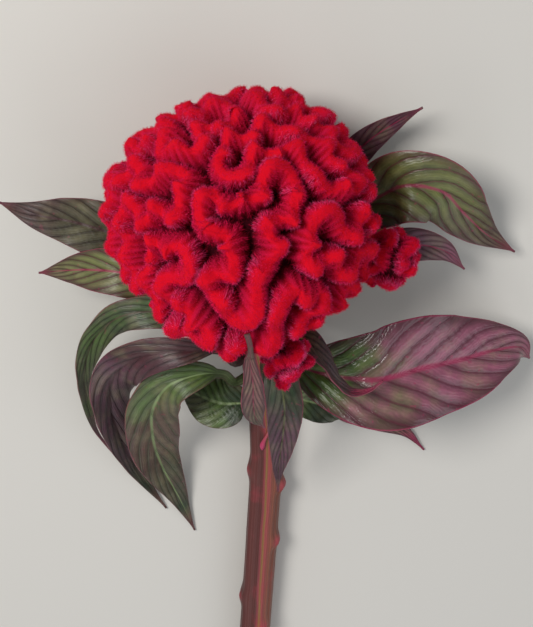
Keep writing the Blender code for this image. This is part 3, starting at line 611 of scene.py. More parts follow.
def stalk_path(shape, stations):
    """The middle of a small crest's stalk, from just off the neck, with its radius."""
    seat, out = neck_seat(*shape["seat"])
    width = shape["stalk"][0][3]
    start = [[*(seat + reach * out), width] for reach in (FOOT_GAP, FOOT_GAP + STALK_LIFT)]
    return smooth_path([*start, *shape["stalk"]], stations)


def leaf_midrib(leaf, stations):
    points = list(leaf["path"])
    if "foot" in leaf:
        foot, out = stem_foot(*leaf["foot"])
        roll = points[0][3]
        points = [[*foot, roll], [*(foot + FOOT_REACH * out), roll], *points]
    return smooth_path(points, stations)


def leaf_frame(leaf, stations):
    """The midrib's points, and for each the way across the blade and the way its upper face looks."""
    midrib = leaf_midrib(leaf, stations)
    spine = midrib[:, :3]
    tangents = unit(np.gradient(spine, axis=0))
    if "foot" in leaf:
        tangents[0] = stem_foot(*leaf["foot"])[1]
    normal = unit(FACE_UP - (tangents @ FACE_UP)[:, None] * tangents)
    side = np.cross(tangents, normal)
    roll = np.radians(midrib[:, 3])[:, None]
    return spine, side * np.cos(roll) + normal * np.sin(roll), normal * np.cos(roll) - side * np.sin(roll)


def leaf_half_width(leaf, s):
    start, widest = leaf["blade"]
    b = np.clip((s - start) / (1.0 - start), 0.0, 1.0)
    power = math.log(0.5) / math.log((widest - start) / (1.0 - start))
    blade = leaf["half_width"] * np.sin(math.pi * b**power) ** 0.85 * (1.0 - 0.5 * b**6)
    petiole = leaf.get("petiole", PETIOLE_HALF_WIDTH)
    stalk = petiole + (TIP_HALF_WIDTH - petiole) * s
    return np.maximum(blade, stalk), b


def leaf_middle(leaf, stations, columns):
    """The blade's middle surface as a grid, its normals, the share along the blade and half its width."""
    spine, side, normal = leaf_frame(leaf, stations)
    half, b = leaf_half_width(leaf, np.linspace(0.0, 1.0, stations))
    size, count, phase = leaf["wave"]
    grid = []
    for t in columns:
        swing = 2.0 * math.pi * (count * b + phase + 0.25 * t)
        lift = leaf["fold"] * abs(t) * half + size * t * t * np.sin(swing) * np.sin(math.pi * b)
        grid.append(spine + side * (t * half)[:, None] + normal * lift[:, None])
    grid = clear_of_crest(np.stack(grid, 1), leaf.get("crest_margin", CREST_MARGIN))
    grid[..., 2] = np.maximum(grid[..., 2], LEAF_THICKNESS / 2.0 + TABLE_GAP)
    return grid, unit(np.cross(np.gradient(grid, axis=1), np.gradient(grid, axis=0))), b, half


def clear_of_crest(grid, margin):
    """Moves what would be inside the main crest to just outside it."""
    local = (grid.reshape(-1, 3) - CREST_CENTRE) @ CREST_AXES.T
    size = np.linalg.norm(local, axis=1)
    towards = local / size[:, None]
    margin = margin + LEAF_THICKNESS / 2.0
    outside = envelope(MAIN_CREST, towards) + margin - size
    below = local[:, 2] + MAIN_CREST["base"] + margin
    inside = (outside > 0.0) & (below > 0.0)
    under = inside & (below < outside)
    beside = inside & ~under
    local[under, 2] -= below[under]
    local[beside] += (towards * outside[:, None])[beside]
    return (CREST_CENTRE + local @ CREST_AXES).reshape(grid.shape)


def ball_mesh(count):
    """An even ball of triangles, as unit vectors and faces."""
    across = np.tan(np.linspace(-math.pi / 4.0, math.pi / 4.0, count + 1))
    u, v = np.meshgrid(across, across, indexing="ij")
    ones = np.ones_like(u)
    sides = [(ones, u, v), (-ones, v, u), (v, ones, u), (u, -ones, v), (u, v, ones), (v, u, -ones)]
    points = np.concatenate([unit(np.stack(side, -1).reshape(-1, 3)) for side in sides])
    at = np.arange((count + 1) ** 2).reshape(count + 1, count + 1)
    a, b, c, d = at[:-1, :-1].ravel(), at[1:, :-1].ravel(), at[1:, 1:].ravel(), at[:-1, 1:].ravel()
    one = np.concatenate([np.stack([a, b, c], 1), np.stack([a, c, d], 1)])
    faces = np.concatenate([one + k * (count + 1) ** 2 for k in range(6)])
    _, kept, where = np.unique(np.round(points, 6), axis=0, return_index=True, return_inverse=True)
    return points[kept], where.reshape(-1)[faces]


def nearest_on_rings(points, rings):
    """For each unit vector, on the nearest ring: distance, point, place along it, its length and its step."""
    starts = np.concatenate(rings)
    along, places, lengths = ring_fields(rings)
    _, previous, ring_of = neighbours(rings)
    tree = KDTree(len(starts))
    for k, point in enumerate(starts):
        tree.insert(point, k)
    tree.balance()
    near = np.array([tree.find(point)[1] for point in points])
    best = np.full(len(points), np.inf)
    foot, place = np.zeros((len(points), 3)), np.zeros(len(points))
    for start in (near, previous[near]):
        step = along[start]
        t = np.clip(((points - starts[start]) * step).sum(1) / ((step**2).sum(1) + 1e-18), 0.0, 1.0)
        here = starts[start] + t[:, None] * step
        gap = np.linalg.norm(points - here, axis=1)
        closer = gap < best
        best[closer], foot[closer] = gap[closer], here[closer]
        place[closer] = (places[start] + t / ring_of[start, 1])[closer]
    return best, foot, place, lengths[near], along[near]


def crest_surface(shape, towards, rings, centre, axes, solid_spot=None):
    """The crest's points in table coordinates, and what the pile and the colours need to know of each."""
    nearest = nearest_on_rings(towards, rings)
    points, away, distance, profile, free, curl = crest_form(shape, towards, nearest, solid_spot)
    share = np.clip(distance / shape["foot"], 0.0, 1.0)
    _, foot, place, length, step = nearest
    waves = np.maximum(2.0, np.round(length * shape["ball"] / FLUTE_LENGTH))
    flutes = np.cos(2.0 * math.pi * waves * place)
    depth = FLUTE_DEPTH * flutes * free * np.sin(math.pi * share) ** 0.7
    points = centre + (points + away * depth[:, None]) @ axes
    points[:, 2] = np.maximum(points[:, 2], 0.0)
    outer = curl * np.sign((away * np.cross(foot, step)).sum(1))
    fields = {"profile": profile, "share": share, "flutes": flutes, "outer": outer, "away": away @ axes}
    fields["rim"] = dome_share(towards)
    return points, fields


def link(name, data):
    made = bpy.data.objects.new(name, data)
    bpy.context.scene.collection.objects.link(made)
    return made


def mesh_from(name, points, faces, fields=None):
    """A mesh object from points in mm and triangles, with one number a point for each named field."""
    mesh = bpy.data.meshes.new(name)
    mesh.vertices.add(len(points))
    mesh.vertices.foreach_set("co", (np.asarray(points) * MM).astype(np.float32).ravel())
    mesh.loops.add(3 * len(faces))
    mesh.loops.foreach_set("vertex_index", np.asarray(faces, np.int32).ravel())
    mesh.polygons.add(len(faces))
    mesh.polygons.foreach_set("loop_start", np.arange(0, 3 * len(faces), 3, dtype=np.int32))
    mesh.polygons.foreach_set("use_smooth", np.full(len(faces), True))
    mesh.update(calc_edges=True)
    for field, values in (fields or {}).items():
        layer = mesh.attributes.new(field, "FLOAT", "POINT")
        layer.data.foreach_set("value", np.asarray(values, np.float32))
    mesh.validate()
    return link(name, mesh)


def normals_of(points, faces):
    """A unit normal for each point, and the area of each triangle."""
    corner = points[faces]
    flat = np.cross(corner[:, 1] - corner[:, 0], corner[:, 2] - corner[:, 0])
    normals = np.zeros_like(points)
    for k in range(3):
        for axis in range(3):
            normals[:, axis] += np.bincount(faces[:, k], flat[:, axis], len(points))
    return unit(normals + 1e-12), np.linalg.norm(flat, axis=1) / 2.0


def finish_piece(made, look, slot, *nodes):
    """Gives a piece its material and body, and hides the imported parts it stands for. Its slot is not used.
    """
    made.data.materials.append(look)
    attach(made, "root")
    if nodes:
        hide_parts(*nodes)


def grow_pile(name, points, faces, fields, centre, count, seed):
    """Short hairs, most of them on the folds. On the outer flanks they are longer, combed down and pinker
    with painted sheen.
    """
    rng = np.random.default_rng(seed)
    normals, areas = normals_of(points, faces)
    profile = fields["profile"][faces].mean(1)
    rim = fields["rim"][faces].mean(1)
    weight = areas * (GROOVE_HAIRS + np.clip(profile, 0.0, 1.0)) * np.clip(rim, 0.0, 1.0)
    chosen = np.searchsorted(np.cumsum(weight) / weight.sum(), rng.random(count))
    mix = rng.dirichlet((1.0, 1.0, 1.0), count)
    corner = faces[chosen]

    def blend(values):
        return (values[corner] * (mix if values.ndim == 1 else mix[..., None])).sum(1)

    root = blend(points)
    normal = unit(blend(normals))
    height = blend(fields["profile"])
    radial = unit(root - centre)
    flank = np.clip(blend(fields["share"]) * 1.6, 0.0, 1.0)
    outer = np.clip(blend(fields["outer"]), 0.0, 1.0) * np.clip(flank * 2.0, 0.0, 1.0)
    slope = unit(normal * (radial * normal).sum(1)[:, None] - radial + 1e-6)
    aim = normal * (0.9 - 0.35 * outer)[:, None] + radial * (0.45 * (1.0 - outer))[:, None]
    aim = aim + slope * (0.6 * outer)[:, None] + blend(fields["away"]) * (0.2 * flank)[:, None]
    aim = unit(aim + rng.normal(0.0, HAIR_SCATTER, (count, 3)) * (1.0 - 0.5 * outer)[:, None])
    long = HAIR_SHORT + (HAIR_LONG - HAIR_SHORT) * (flank * rng.random(count) ** 1.5 + OUTER_LENGTH * outer)
    long = long * (0.75 + 0.5 * rng.random(count))
    tip = root + aim * long[:, None]
    kept = tip[:, 2] > HAIR_FLOOR
    # Painted sheen: hairs on the flute crests of the flanks get a pinker tone.
    flute_sheen = blend(fields["flutes"]) * flank
    root, aim, tip, flank, height, outer, flute_sheen = (
        values[kept] for values in (root, aim, tip, flank, height, outer, flute_sheen)
    )
    tone = hair_tones(rng, height, flank, outer, flute_sheen)
    side = unit(np.cross(aim, rng.normal(0.0, 1.0, aim.shape)))
    return spikes(name, root - aim * HAIR_SUNK, tip, side, np.cross(aim, side), tone)


def hair_tones(rng, height, flank, outer, flute_sheen):
    """Painted shade makes them dark in the grooves, a painted highlight makes them brighter red on top, and
    painted sheen makes them pinker down the flanks, most of all on the outer ones and the flute crests.
    """
    count = len(height)
    tone = TONE + TOP_HIGHLIGHT_TONE * height + FLANK_SHEEN_TONE * flank * rng.random(count) ** 1.2
    tone = tone + rng.normal(0.0, TONE_SCATTER, count)
    tone = tone + OUTER_SHEEN_TONE * outer * rng.random(count) ** 0.7 + FLUTE_SHEEN_TONE * flute_sheen
    # Painted shade: the tone falls towards the groove floors.
    return np.clip(tone * (0.35 + 0.65 * smooth_step(height * 2.2)), *TONE_LIMITS)


def spikes(name, foot, tip, side, other, tone):
    """Thin closed spikes as one mesh. Its map holds each one's tone across, and its foot and tip up."""
    count = len(foot)
    corners = np.empty((count, 4, 3))
    for k in range(3):
        turn = 2.0 * math.pi * k / 3.0
        corners[:, k] = foot + HAIR_FOOT * (math.cos(turn) * side + math.sin(turn) * other)
    corners[:, 3] = tip
    spike = np.array([[0, 1, 3], [1, 2, 3], [2, 0, 3], [0, 2, 1]])
    triangles = (spike[None] + 4 * np.arange(count)[:, None, None]).reshape(-1, 3)
    pile = mesh_from(name, corners.reshape(-1, 3), triangles)
    layer = pile.data.uv_layers.new(name=TONE_MAP)
    uv = np.empty((count, 4, 3, 2))
    uv[..., 0] = (np.round(tone * TONE_STEPS) + 0.5)[:, None, None] / (TONE_STEPS + 2.0)
    uv[..., 1] = np.where(spike == 3, MAP_TIP, 1.0 - MAP_TIP)[None]
    layer.data.foreach_set("uv", uv.astype(np.float32).ravel())
    return pile


def make_crest(name, shape, centre, axes, count, looks, hairs, pieces, solid_spot=None):
    """The folded surface of a crest and the pile on it."""
    skin, velvet = looks
    towards, faces = ball_mesh(count)
    points, fields = crest_surface(shape, towards, grow_folds(shape), centre, axes, solid_spot)
    shown = {key: fields[key] for key in ("profile", "share", "rim", "flutes")}
    crest = mesh_from(name + "_folds", points, faces, shown)
    finish_piece(crest, skin, "crest_velvet", name)
    for k in range(pieces):
        title = f"{name}_pile_{k + 1}"
        pile = grow_pile(title, points, faces, fields, centre, hairs // pieces, HAIR_SEED + 7 * k)
        finish_piece(pile, velvet, "crest_velvet")


def make_main_crest(looks):
    spot = unit(CREST_AXES @ -CREST_CENTRE)
    make_crest("crest", MAIN_CREST, CREST_CENTRE, CREST_AXES, MAIN_BALL, looks, MAIN_HAIRS, MAIN_PIECES, spot)


def make_small_crest(name, shape, looks, flesh):
    centre = np.array(shape["centre"])
    make_crest(name, shape, centre, axes_towards(shape["axis"]), SMALL_BALL, looks, SMALL_HAIRS, 1)
    stalk = stalk_path(shape, STALK_STATIONS)
    made = tube(stalk[:, :3], lambda k, turn: stalk[k, 3] * (1.0 + 0.07 * math.cos(6.0 * turn)), STALK_SIDES)
    finish_piece(mesh_from(name + "_stalk", *made), flesh, "stem_skin")


def tube(path, radius, sides, shift=None):
    """A closed tube as points and triangles, with its angle and its place along as fields."""
    tangents, right, up = frames_along(path)
    rings = len(path)
    turns = 2.0 * math.pi * np.arange(sides) / sides
    reach = np.array([[radius(k, turn) for turn in turns] for k in range(rings)])
    out = np.cos(turns)[:, None] * right[:, None] + np.sin(turns)[:, None] * up[:, None]
    grid = path[:, None] + reach[..., None] * out
    if shift:
        moves = np.array([[shift(k, height) for height in reach[k] * np.sin(turns)] for k in range(rings)])
        grid = grid + tangents[:, None] * moves[..., None]
    points = np.concatenate([grid.reshape(-1, 3), grid[:1].mean(1), grid[-1:].mean(1)])
    at = np.arange(rings * sides).reshape(rings, sides)
    after = np.roll(at, -1, 1)
    walls = np.stack([at[:-1], after[:-1], after[1:], at[:-1], after[1:], at[1:]], -1)
    start, end = np.full(sides, rings * sides), np.full(sides, rings * sides + 1)
    caps = np.stack([after[0], at[0], start, at[-1], after[-1], end], -1)
    faces = np.concatenate([walls.reshape(-1, 3), caps.reshape(-1, 3)])
    place = np.array([*np.repeat(np.arange(rings), sides), 0, rings - 1]) / (rings - 1.0)
    return points, faces, {"turn_x": np.cos([*np.tile(turns, rings), 0.0, 0.0]), "place": place}


def make_bud_leaf(look):
    """The small pink bud leaf that curls down the upper side of the stem."""
    path = smooth_path(BUD_LEAF, BUD_LEAF_STATIONS)
    made = tube(path[:, :3], lambda k, turn: path[k, 3] * (1.0 + 0.2 * math.cos(turn)), STALK_SIDES)
    finish_piece(mesh_from("stem_bud_leaf", *made), look, "stem_skin")


def neck_ribs(turn, share):
    """The uneven fleshy ribs of the neck, from -1 to 1, which wander a little on their way up."""
    return math.cos(NECK_FINE_RIBS * turn + 1.2 * math.sin(9.0 * share) + 1.5 * math.sin(3.0 * turn))


def make_stem(look):
    """The stem and the neck, with the share up the neck, the cut, the scars and the ribs for the colours."""
    path, run, share = stem_path(FINE_STEM_STATIONS, FINE_NECK_STATIONS)

    def reach(k, turn):
        fine = STEM_FINE_RISE * math.cos(STEM_FINE_RIBS * turn + 0.6) * (1.0 - share[k])
        fine += NECK_FINE_RISE * share[k] * neck_ribs(turn, share[k])
        return stem_reach(run[k], share[k], turn) + fine

    points, faces, fields = tube(path, reach, FINE_STEM_SIDES, lambda k, height: cut_shift(run[k], height))
    rings = len(path)
    neck = np.concatenate([np.repeat(share, FINE_STEM_SIDES), [0.0, 1.0]])
    cut = np.concatenate([np.zeros(rings * FINE_STEM_SIDES), [1.0, 0.0]])
    turns = 2.0 * math.pi * np.arange(FINE_STEM_SIDES) / FINE_STEM_SIDES
    scar = [stem_reach(run[k], share[k], t) - neck_reach(share[k], t) for k in range(rings) for t in turns]
    ribs = [neck_ribs(t, share[k]) for k in range(rings) for t in turns]
    fields.update({"neck": neck, "cut": cut, "scar": [*scar, 0.0, 0.0], "ribs": [*ribs, 0.0, 0.0]})
    finish_piece(mesh_from("stem_skin", points, faces, fields), look, "stem_skin", "stem")


def blade_relief(t, b, half, middle):
    """How far the upper skin stands out from the middle surface: veins sunk, skin swelling between them."""
    order = VEIN_PAIRS * b - VEIN_SWEEP * np.abs(t)
    vein = np.abs(order - np.round(order)) * 2.0
    fade = smooth_step(b * 8.0) * smooth_step((1.0 - b) * 6.0)
    flat = 1.0 - np.abs(t) ** 6
    side = np.exp(-((vein / VEIN_WIDTH) ** 2)) * flat * fade
    size = np.minimum(2.0, half / 8.0)
    relief = size * fade * (QUILT_RISE * np.sin(0.5 * math.pi * vein) * flat - VEIN_DEPTH * side)
    return relief - MIDRIB_DEPTH * size * middle


def make_leaf(name, leaf):
    """A blade as a closed sheet, with columns closer together near its margins."""
    stations, columns = FINE_LEAF_STATIONS, FINE_LEAF_COLUMNS
    across = np.sin(np.linspace(-0.5 * math.pi, 0.5 * math.pi, columns) * 0.92) / math.sin(0.46 * math.pi)
    grid, normals, b, half = leaf_middle(leaf, stations, across)
    t, b, half = np.broadcast_arrays(across[None, :], b[:, None], half[:, None])
    middle = np.exp(-((t * half / MIDRIB_HALF_WIDTH) ** 2))
    relief = blade_relief(t, b, half, middle)
    ruffle = RUFFLE * np.abs(t) ** 5 * np.sin(2.0 * math.pi * (RUFFLES * b + 0.3 * t)) * np.sin(math.pi * b)
    size = np.minimum(1.0, half / 6.0)
    grid = grid + normals * (ruffle * size)[..., None]
    thin = LEAF_THICKNESS * (0.5 - 0.22 * np.abs(t) ** 3)
    top = grid + normals * (thin + relief)[..., None]
    bottom = grid + normals * (relief - thin - MIDRIB_BELOW * middle * size)[..., None]
    tucked = TUCK * (1.0 - smooth_step(b * 6.0)) * ("crest_margin" in leaf)
    for skin in (top, bottom):
        skin -= normals * tucked[..., None]
        skin[..., 2] = np.maximum(skin[..., 2], TABLE_GAP)
    points = np.concatenate([top.reshape(-1, 3), bottom.reshape(-1, 3)])
    fields = {"along": np.tile(b.ravel(), 2), "across": np.tile(t.ravel(), 2)}
    fields["under"] = np.repeat([0.0, 1.0], b.size)
    made = mesh_from(name + "_blade", points, shell_faces(stations, columns), fields)
    slot = "leaf_wine" if leaf.get("wine") else "leaf_green"
    finish_piece(made, leaf_material(name + "_skin", *leaf["look"]), slot, name)


def shell_faces(rows, columns):
    """Triangles of a closed sheet: an upper grid, a lower grid and the rim between them."""
    at = np.arange(rows * columns).reshape(rows, columns)
    a, b, c, d = at[:-1, :-1].ravel(), at[:-1, 1:].ravel(), at[1:, :-1].ravel(), at[1:, 1:].ravel()
    top = np.concatenate([np.stack([a, b, d], 1), np.stack([a, d, c], 1)])
    under = rows * columns
    rim = np.concatenate([at[0, :], at[1:, -1], at[-1, -2::-1], at[-2:0:-1, 0]])
    after = np.roll(rim, -1)
    sides = [np.stack([rim, rim + under, after], 1), np.stack([after, rim + under, after + under], 1)]
    return np.concatenate([top, top[:, ::-1] + under, *sides])


class Value:
    """A number that varies over a surface, made by nodes. It adds, subtracts and multiplies like a number."""

    def __init__(self, nodes, socket):
        self.nodes = nodes
        self.socket = socket

    def __add__(self, other):
        return self.nodes.math("ADD", self, other)

    def __sub__(self, other):
        return self.nodes.math("SUBTRACT", self, other)

    def __rsub__(self, other):
        return self.nodes.math("SUBTRACT", other, self)

    def __mul__(self, other):
        return self.nodes.math("MULTIPLY", self, other)


class Nodes:
    """A short way to write a material's nodes."""

    def __init__(self, name):
        self.material = bpy.data.materials.new(name)
        self.material.use_nodes = True
        self.tree = self.material.node_tree
        self.shader = self.tree.nodes["Principled BSDF"]

    def add(self, kind, **settings):
        node = self.tree.nodes.new(kind)
        for key, value in settings.items():
            setattr(node, key, value)
        return node

    def put(self, value, socket):
        """Gives a socket a number, a colour, a Value or another socket."""
        if isinstance(value, (int, float)):
            socket.default_value = value
        elif isinstance(value, tuple):
            socket.default_value = (*value, 1.0)
        else:
            self.tree.links.new(value.socket if isinstance(value, Value) else value, socket)

    def fill(self, node, **values):
        for key, value in values.items():
            self.put(value, node.inputs[key.replace("_", " ")])

    def math(self, operation, first, second):
        node = self.add("ShaderNodeMath", operation=operation)
        self.put(first, node.inputs[0])
        self.put(second, node.inputs[1])
        return Value(self, node.outputs[0])

    def field(self, name):
        return Value(self, self.add("ShaderNodeAttribute", attribute_name=name).outputs["Fac"])

    def noise(self, scale, detail=3.0):
        node = self.add("ShaderNodeTexNoise")
        place = self.add("ShaderNodeTexCoord").outputs["Object"]
        self.fill(node, Scale=scale, Detail=detail, Roughness=0.55, Vector=place)
        return Value(self, node.outputs["Fac"])

    def step(self, value, low, high):
        """0 below the low number, 1 above the high one, and a smooth rise between them."""
        node = self.add("ShaderNodeMapRange", interpolation_type="SMOOTHSTEP")
        self.fill(node, From_Min=low, From_Max=high, Value=value)
        return Value(self, node.outputs["Result"])

    def blend(self, factor, first, second, mode="MIX"):
        node = self.add("ShaderNodeMix", data_type="RGBA", blend_type=mode)
        self.put(factor, node.inputs[0])
        self.put(first, node.inputs[6])
        self.put(second, node.inputs[7])
        return node.outputs[2]

    def ramp(self, value, *stops):
        node = self.add("ShaderNodeValToRGB")
        ramp = node.color_ramp
        while len(ramp.elements) < len(stops):
            ramp.elements.new(0.5)
        for element, (place, colour) in zip(ramp.elements, stops):
            element.position = place
            element.color = (*colour, 1.0)
        self.put(value, node.inputs[0])
        return node.outputs[0]

    def bump(self, height, distance, strength):
        """Small relief, its height in mm."""
        node = self.add("ShaderNodeBump")
        self.fill(node, Distance=distance * MM, Strength=strength, Height=height)
        self.set(Normal=node.outputs[0])

    def set(self, **values):
        self.fill(self.shader, **values)


def crest_skin():
    """The flesh of the folds under the pile: darkening to nearly black in the grooves as painted shade,
    crimson on top, pinker on the flute crests of the flanks as painted sheen, and pale underneath.
    """
    n = Nodes("crest_skin")
    height = n.field("profile")
    # Painted shade: the skin darkens from crimson on the fold tops to nearly black down in the grooves.
    base = n.ramp(
        height, (0.0, (0.03, 0.0, 0.003)), (0.35, (0.12, 0.0, 0.006)), (0.7, (0.35, 0.001, 0.01)),
        (1.0, (0.6, 0.002, 0.014)),
    )
    # Painted sheen: pinker along the flute crests on the flanks.
    flank_sheen = (n.field("flutes") * 0.5 + 0.5) * (n.step(n.field("share"), 0.1, 0.5) * height)
    base = n.blend(flank_sheen * 0.8, base, (0.62, 0.01, 0.08))
    underside = n.step(1.0 - n.field("rim"), 0.6, 1.0)
    base = n.blend(underside * n.noise(90.0), base, (0.4, 0.3, 0.1))
    n.set(Base_Color=base, Roughness=0.9, Specular_IOR_Level=0.1)
    n.bump(n.noise(1800.0), 0.3, 0.6)
    return n.material


def crest_velvet():
    """The hairs: each has one tone, and goes from a foot darkened as painted shade to a pale pink tip that is
    painted sheen.
    """
    n = Nodes("crest_velvet_pile")
    split = n.add("ShaderNodeSeparateXYZ")
    n.put(n.add("ShaderNodeUVMap", uv_map=TONE_MAP).outputs[0], split.inputs[0])
    tone, along = split.outputs[0], split.outputs[1]
    body = n.ramp(
        tone, (0.0, (0.04, 0.0, 0.004)), (0.22, (0.2, 0.0, 0.01)), (0.45, (0.62, 0.0, 0.036)),
        (0.7, (0.86, 0.002, 0.09)), (1.0, (0.9, 0.07, 0.28)),
    )
    # Painted sheen: the pale pink tips stand for light caught by the hair tips.
    tip = n.ramp(
        tone, (0.0, (0.08, 0.0, 0.008)), (0.28, (0.4, 0.001, 0.02)), (0.5, (0.84, 0.002, 0.07)),
        (0.75, (0.96, 0.05, 0.21)), (1.0, (1.0, 0.38, 0.56)),
    )
    # Painted shade at the foot of each hair, deep in the pile.
    shaded_foot = n.blend(1.0, body, (0.35, 0.25, 0.3), "MULTIPLY")
    colour = n.blend(n.step(along, 0.0, 0.45), shaded_foot, body)
    n.set(Base_Color=n.blend(n.step(along, 0.45, 1.0), colour, tip), Roughness=0.7, Specular_IOR_Level=0.15)
    n.set(Sheen_Weight=0.12, Sheen_Roughness=0.5, Sheen_Tint=(1.0, 0.15, 0.3))
    return n.material


def leaf_material(name, base, middle, tip, midrib, rim, roughness):
    """A glossy blade: three colours along it in uneven patches, sunk veins, and a redder rim and tip."""
    n = Nodes(name)
    along = n.field("along")
    side = n.math("ABSOLUTE", n.field("across"), 0.0)
    place = along + (n.noise(38.0, 4.0) - 0.5) * 0.9
    blade = n.blend(n.step(place, 0.16, 0.42), base, middle)
    blade = n.blend(n.step(place, 0.55, 0.95), blade, tip)
    # Pale patches, partly the leaf's own mottling and partly painted glossy highlight.
    mottle_and_gloss = n.step(n.noise(95.0, 5.0), 0.42, 0.7)
    blade = n.blend(mottle_and_gloss * 0.6, blade, n.blend(0.6, blade, SAGE))

    # The veins wander a little. The skin is finely lined, paler midway between the veins and darker along
    # them as painted highlight and painted shade on its swelling relief, and dark towards the margin.
    order = along * VEIN_PAIRS - side * VEIN_SWEEP
    between = n.math("PINGPONG", order + (n.noise(60.0, 2.0) * 0.35 - 0.175), 0.5)
    vein = 1.0 - n.step(between, 0.0, 0.12)
    fine = n.math("PINGPONG", (order + n.noise(90.0)) * 5.0, 0.5)
    # The painted highlight and shade between the veins grow stronger with a redder rim.
    depth = 0.3 + 0.45 * rim
    lines_and_painted_light = (fine * 0.35 + 0.86) * (n.noise(220.0, 4.0) * 0.8 + 0.6)
    lines_and_painted_light = lines_and_painted_light * (n.step(between, 0.0, 0.5) * depth + (1.0 - 0.5 * depth))
    blade = n.blend(1.0, blade, lines_and_painted_light, "MULTIPLY")
    blade = n.blend(n.step(side, 0.62, 0.95) * rim, blade, WINE)
    blade = n.blend(vein * (0.35 + 0.4 * rim), blade, tuple(0.3 * value for value in midrib))

    # Red specks, the midrib, the thin red rim and tip, and a duller underside
    specks = n.step(n.noise(420.0, 1.0), 0.68, 0.74)
    blade = n.blend(specks * (0.6 * rim), blade, MAGENTA)
    blade = n.blend((1.0 - n.step(side, 0.02, 0.09)) * 0.75, blade, midrib)
    edge = n.step(side, 0.96, 0.995) * rim
    blade = n.blend(n.math("MAXIMUM", edge, n.step(along, 0.88, 1.0) * rim), blade, MAGENTA)
    blade = n.blend(n.field("under") * 0.5, blade, UNDERSIDE)
    n.set(Base_Color=blade, Roughness=roughness, Coat_Weight=0.15, Coat_Roughness=0.28)
    n.set(Specular_IOR_Level=0.5)
    n.bump(n.noise(700.0, 4.0) * 0.35 - vein * 0.5 + fine * 0.4, 0.45, 0.8)
    return n.material


def stem_material():
    """Ribbed skin: dark red-brown on the left, a yellow-green stripe in the middle, red to orange right."""
    n = Nodes("stem_ribbed_skin")
    side = n.field("turn_x") + (n.noise(22.0) - 0.5) * 0.45
    skin = n.ramp(
        side * 0.5 + 0.5, (0.0, (0.06, 0.014, 0.012)), (0.2, (0.11, 0.025, 0.02)),
        (0.45, (0.085, 0.02, 0.016)), (0.53, (0.25, 0.035, 0.045)), (0.58, (0.22, 0.13, 0.025)),
        (0.64, (0.3, 0.045, 0.05)), (0.8, (0.27, 0.07, 0.035)), (1.0, (0.16, 0.04, 0.02)),
    )
    lines = n.math("PINGPONG", n.field("turn_x") * 14.0 + n.noise(60.0) * 2.5, 1.0)
    skin = n.blend(lines * 0.25, skin, (0.05, 0.012, 0.012))
    skin = n.blend(n.step(n.noise(75.0, 3.0), 0.55, 0.75) * 0.45, skin, (0.3, 0.03, 0.045))
    skin = n.blend(n.step(n.field("scar"), 0.5, 2.0) * 0.75, skin, (0.36, 0.03, 0.05))

    # The neck: pale ribs in redder grooves, redder still under the crest. The cut end shows pale pith.
    share = n.field("neck")
    neck = n.blend(n.step(n.field("ribs"), -0.6, 0.8), (0.26, 0.11, 0.05), (0.36, 0.36, 0.12))
    redder = n.step(share, 0.6, 1.0) * n.step(n.noise(160.0, 4.0), 0.35, 0.65)
    neck = n.blend(redder, neck, (0.42, 0.035, 0.06))
    base = n.blend(n.step(share, 0.1, 0.7), skin, neck)
    pith = n.blend(n.noise(700.0), (0.42, 0.42, 0.2), (0.25, 0.26, 0.08))
    base = n.blend(n.step(n.field("cut"), 0.1, 0.9), base, pith)
    n.set(Base_Color=base, Roughness=0.48, Specular_IOR_Level=0.45)
    n.bump(n.noise(420.0, 5.0) + lines, 0.2, 0.6)
    return n.material


def flesh_material():
    """Pale yellow-green flesh of the small crests' stalks."""
    n = Nodes("stalk_flesh")
    base = n.blend(n.noise(150.0), (0.42, 0.45, 0.13), (0.5, 0.22, 0.16))
    base = n.blend(n.step(n.field("place"), 0.55, 1.0), base, (0.5, 0.05, 0.07))
    n.set(Base_Color=base, Roughness=0.5)
    n.bump(n.noise(500.0), 0.2, 0.5)
    return n.material


def bud_material():
    n = Nodes("bud_leaf_skin")
    base = n.blend(n.step(n.field("place"), 0.2, 0.9), (0.34, 0.07, 0.07), (0.5, 0.03, 0.13))
    base = n.blend(n.noise(600.0) * 0.4, base, (0.3, 0.02, 0.05))
    n.set(Base_Color=base, Roughness=0.45)
    n.bump(n.noise(1500.0), 0.1, 0.5)
    return n.material


def make_floor():
    corners = FLOOR_REACH * np.array([[-1.0, -1.0, 0.0], [1.0, -1.0, 0.0], [1.0, 1.0, 0.0], [-1.0, 1.0, 0.0]])
    floor = mesh_from("floor", corners, np.array([[0, 1, 2], [0, 2, 3]]))
    n = Nodes("pale_floor")
    n.set(Base_Color=(0.6, 0.58, 0.54), Roughness=0.7)
    floor.data.materials.append(n.material)


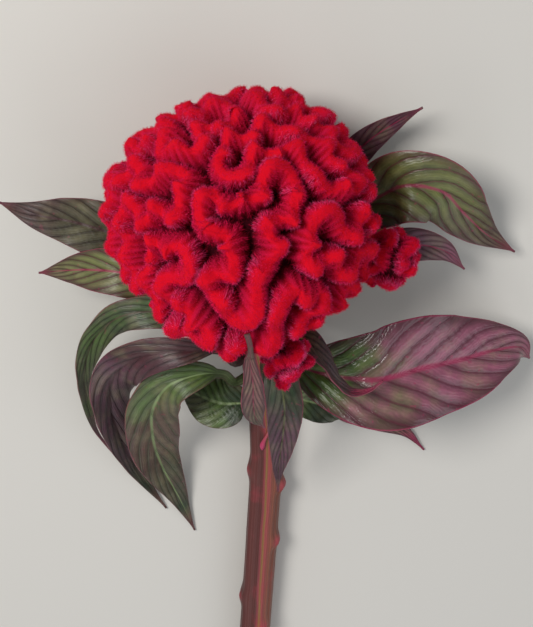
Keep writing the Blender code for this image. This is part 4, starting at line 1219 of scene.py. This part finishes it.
def add_softbox(name, place, size, power, colour):
    light = bpy.data.lights.new(name, "AREA")
    light.shape = "DISK"
    light.size = size
    light.energy = power
    light.color = colour
    lamp = link(name, light)
    lamp.location = place
    lamp.rotation_euler = (Vector(LIGHT_AIM) - Vector(place)).to_track_quat("-Z", "Y").to_euler()


def make_lights():
    add_softbox("key", (-0.45, 0.35, 0.8), 0.4, 7.5, (1.0, 0.98, 0.95))
    add_softbox("fill", (0.7, -0.4, 0.6), 0.9, 2.2, (0.93, 0.96, 1.0))
    add_softbox("front", (-0.1, -0.8, 0.5), 0.7, 1.2, (1.0, 1.0, 1.0))
    world = bpy.data.worlds.new("soft_sky")
    world.use_nodes = True
    sky = world.node_tree.nodes["Background"]
    sky.inputs["Color"].default_value = (0.9, 0.94, 1.0, 1.0)
    sky.inputs["Strength"].default_value = 0.32
    bpy.context.scene.world = world


def make_camera():
    """Looks down on the flower, leaning towards its head, so that the crest stands where the photo has it."""
    lens = bpy.data.cameras.new("camera")
    lens.sensor_fit = "VERTICAL"
    lens.angle = 2.0 * math.atan(PHOTO_HEIGHT / 2.0 * PIXEL_AT_CREST / CAMERA_DISTANCE)
    lens.clip_start = 0.01
    aside = (PHOTO_WIDTH / 2.0 - CREST_PIXEL[0]) * PIXEL_AT_CREST
    below = (PHOTO_HEIGHT / 2.0 - CREST_PIXEL[1]) * PIXEL_AT_CREST
    turn = Matrix.Rotation(-CAMERA_LEAN, 4, "X")
    place = Vector(CREST_CENTRE) + turn @ Vector((aside, -below, CAMERA_DISTANCE))
    camera = link("camera", lens)
    camera.matrix_world = Matrix.Translation(place * MM) @ turn
    bpy.context.scene.camera = camera


def corners(box):
    return [[float(value) for value in corner] for corner in box]


def main():
    bpy.context.scene.view_settings.view_transform = "Standard"
    make_camera()
    make_lights()
    make_floor()
    looks = (crest_skin(), crest_velvet())
    flesh = flesh_material()
    make_main_crest(looks)
    make_small_crest("side_crest", SIDE_CREST, looks, flesh)
    make_small_crest("front_crest", FRONT_CREST, looks, flesh)
    make_stem(stem_material())
    make_bud_leaf(bud_material())
    for name, leaf in LEAVES.items():
        make_leaf(name, leaf)


main()
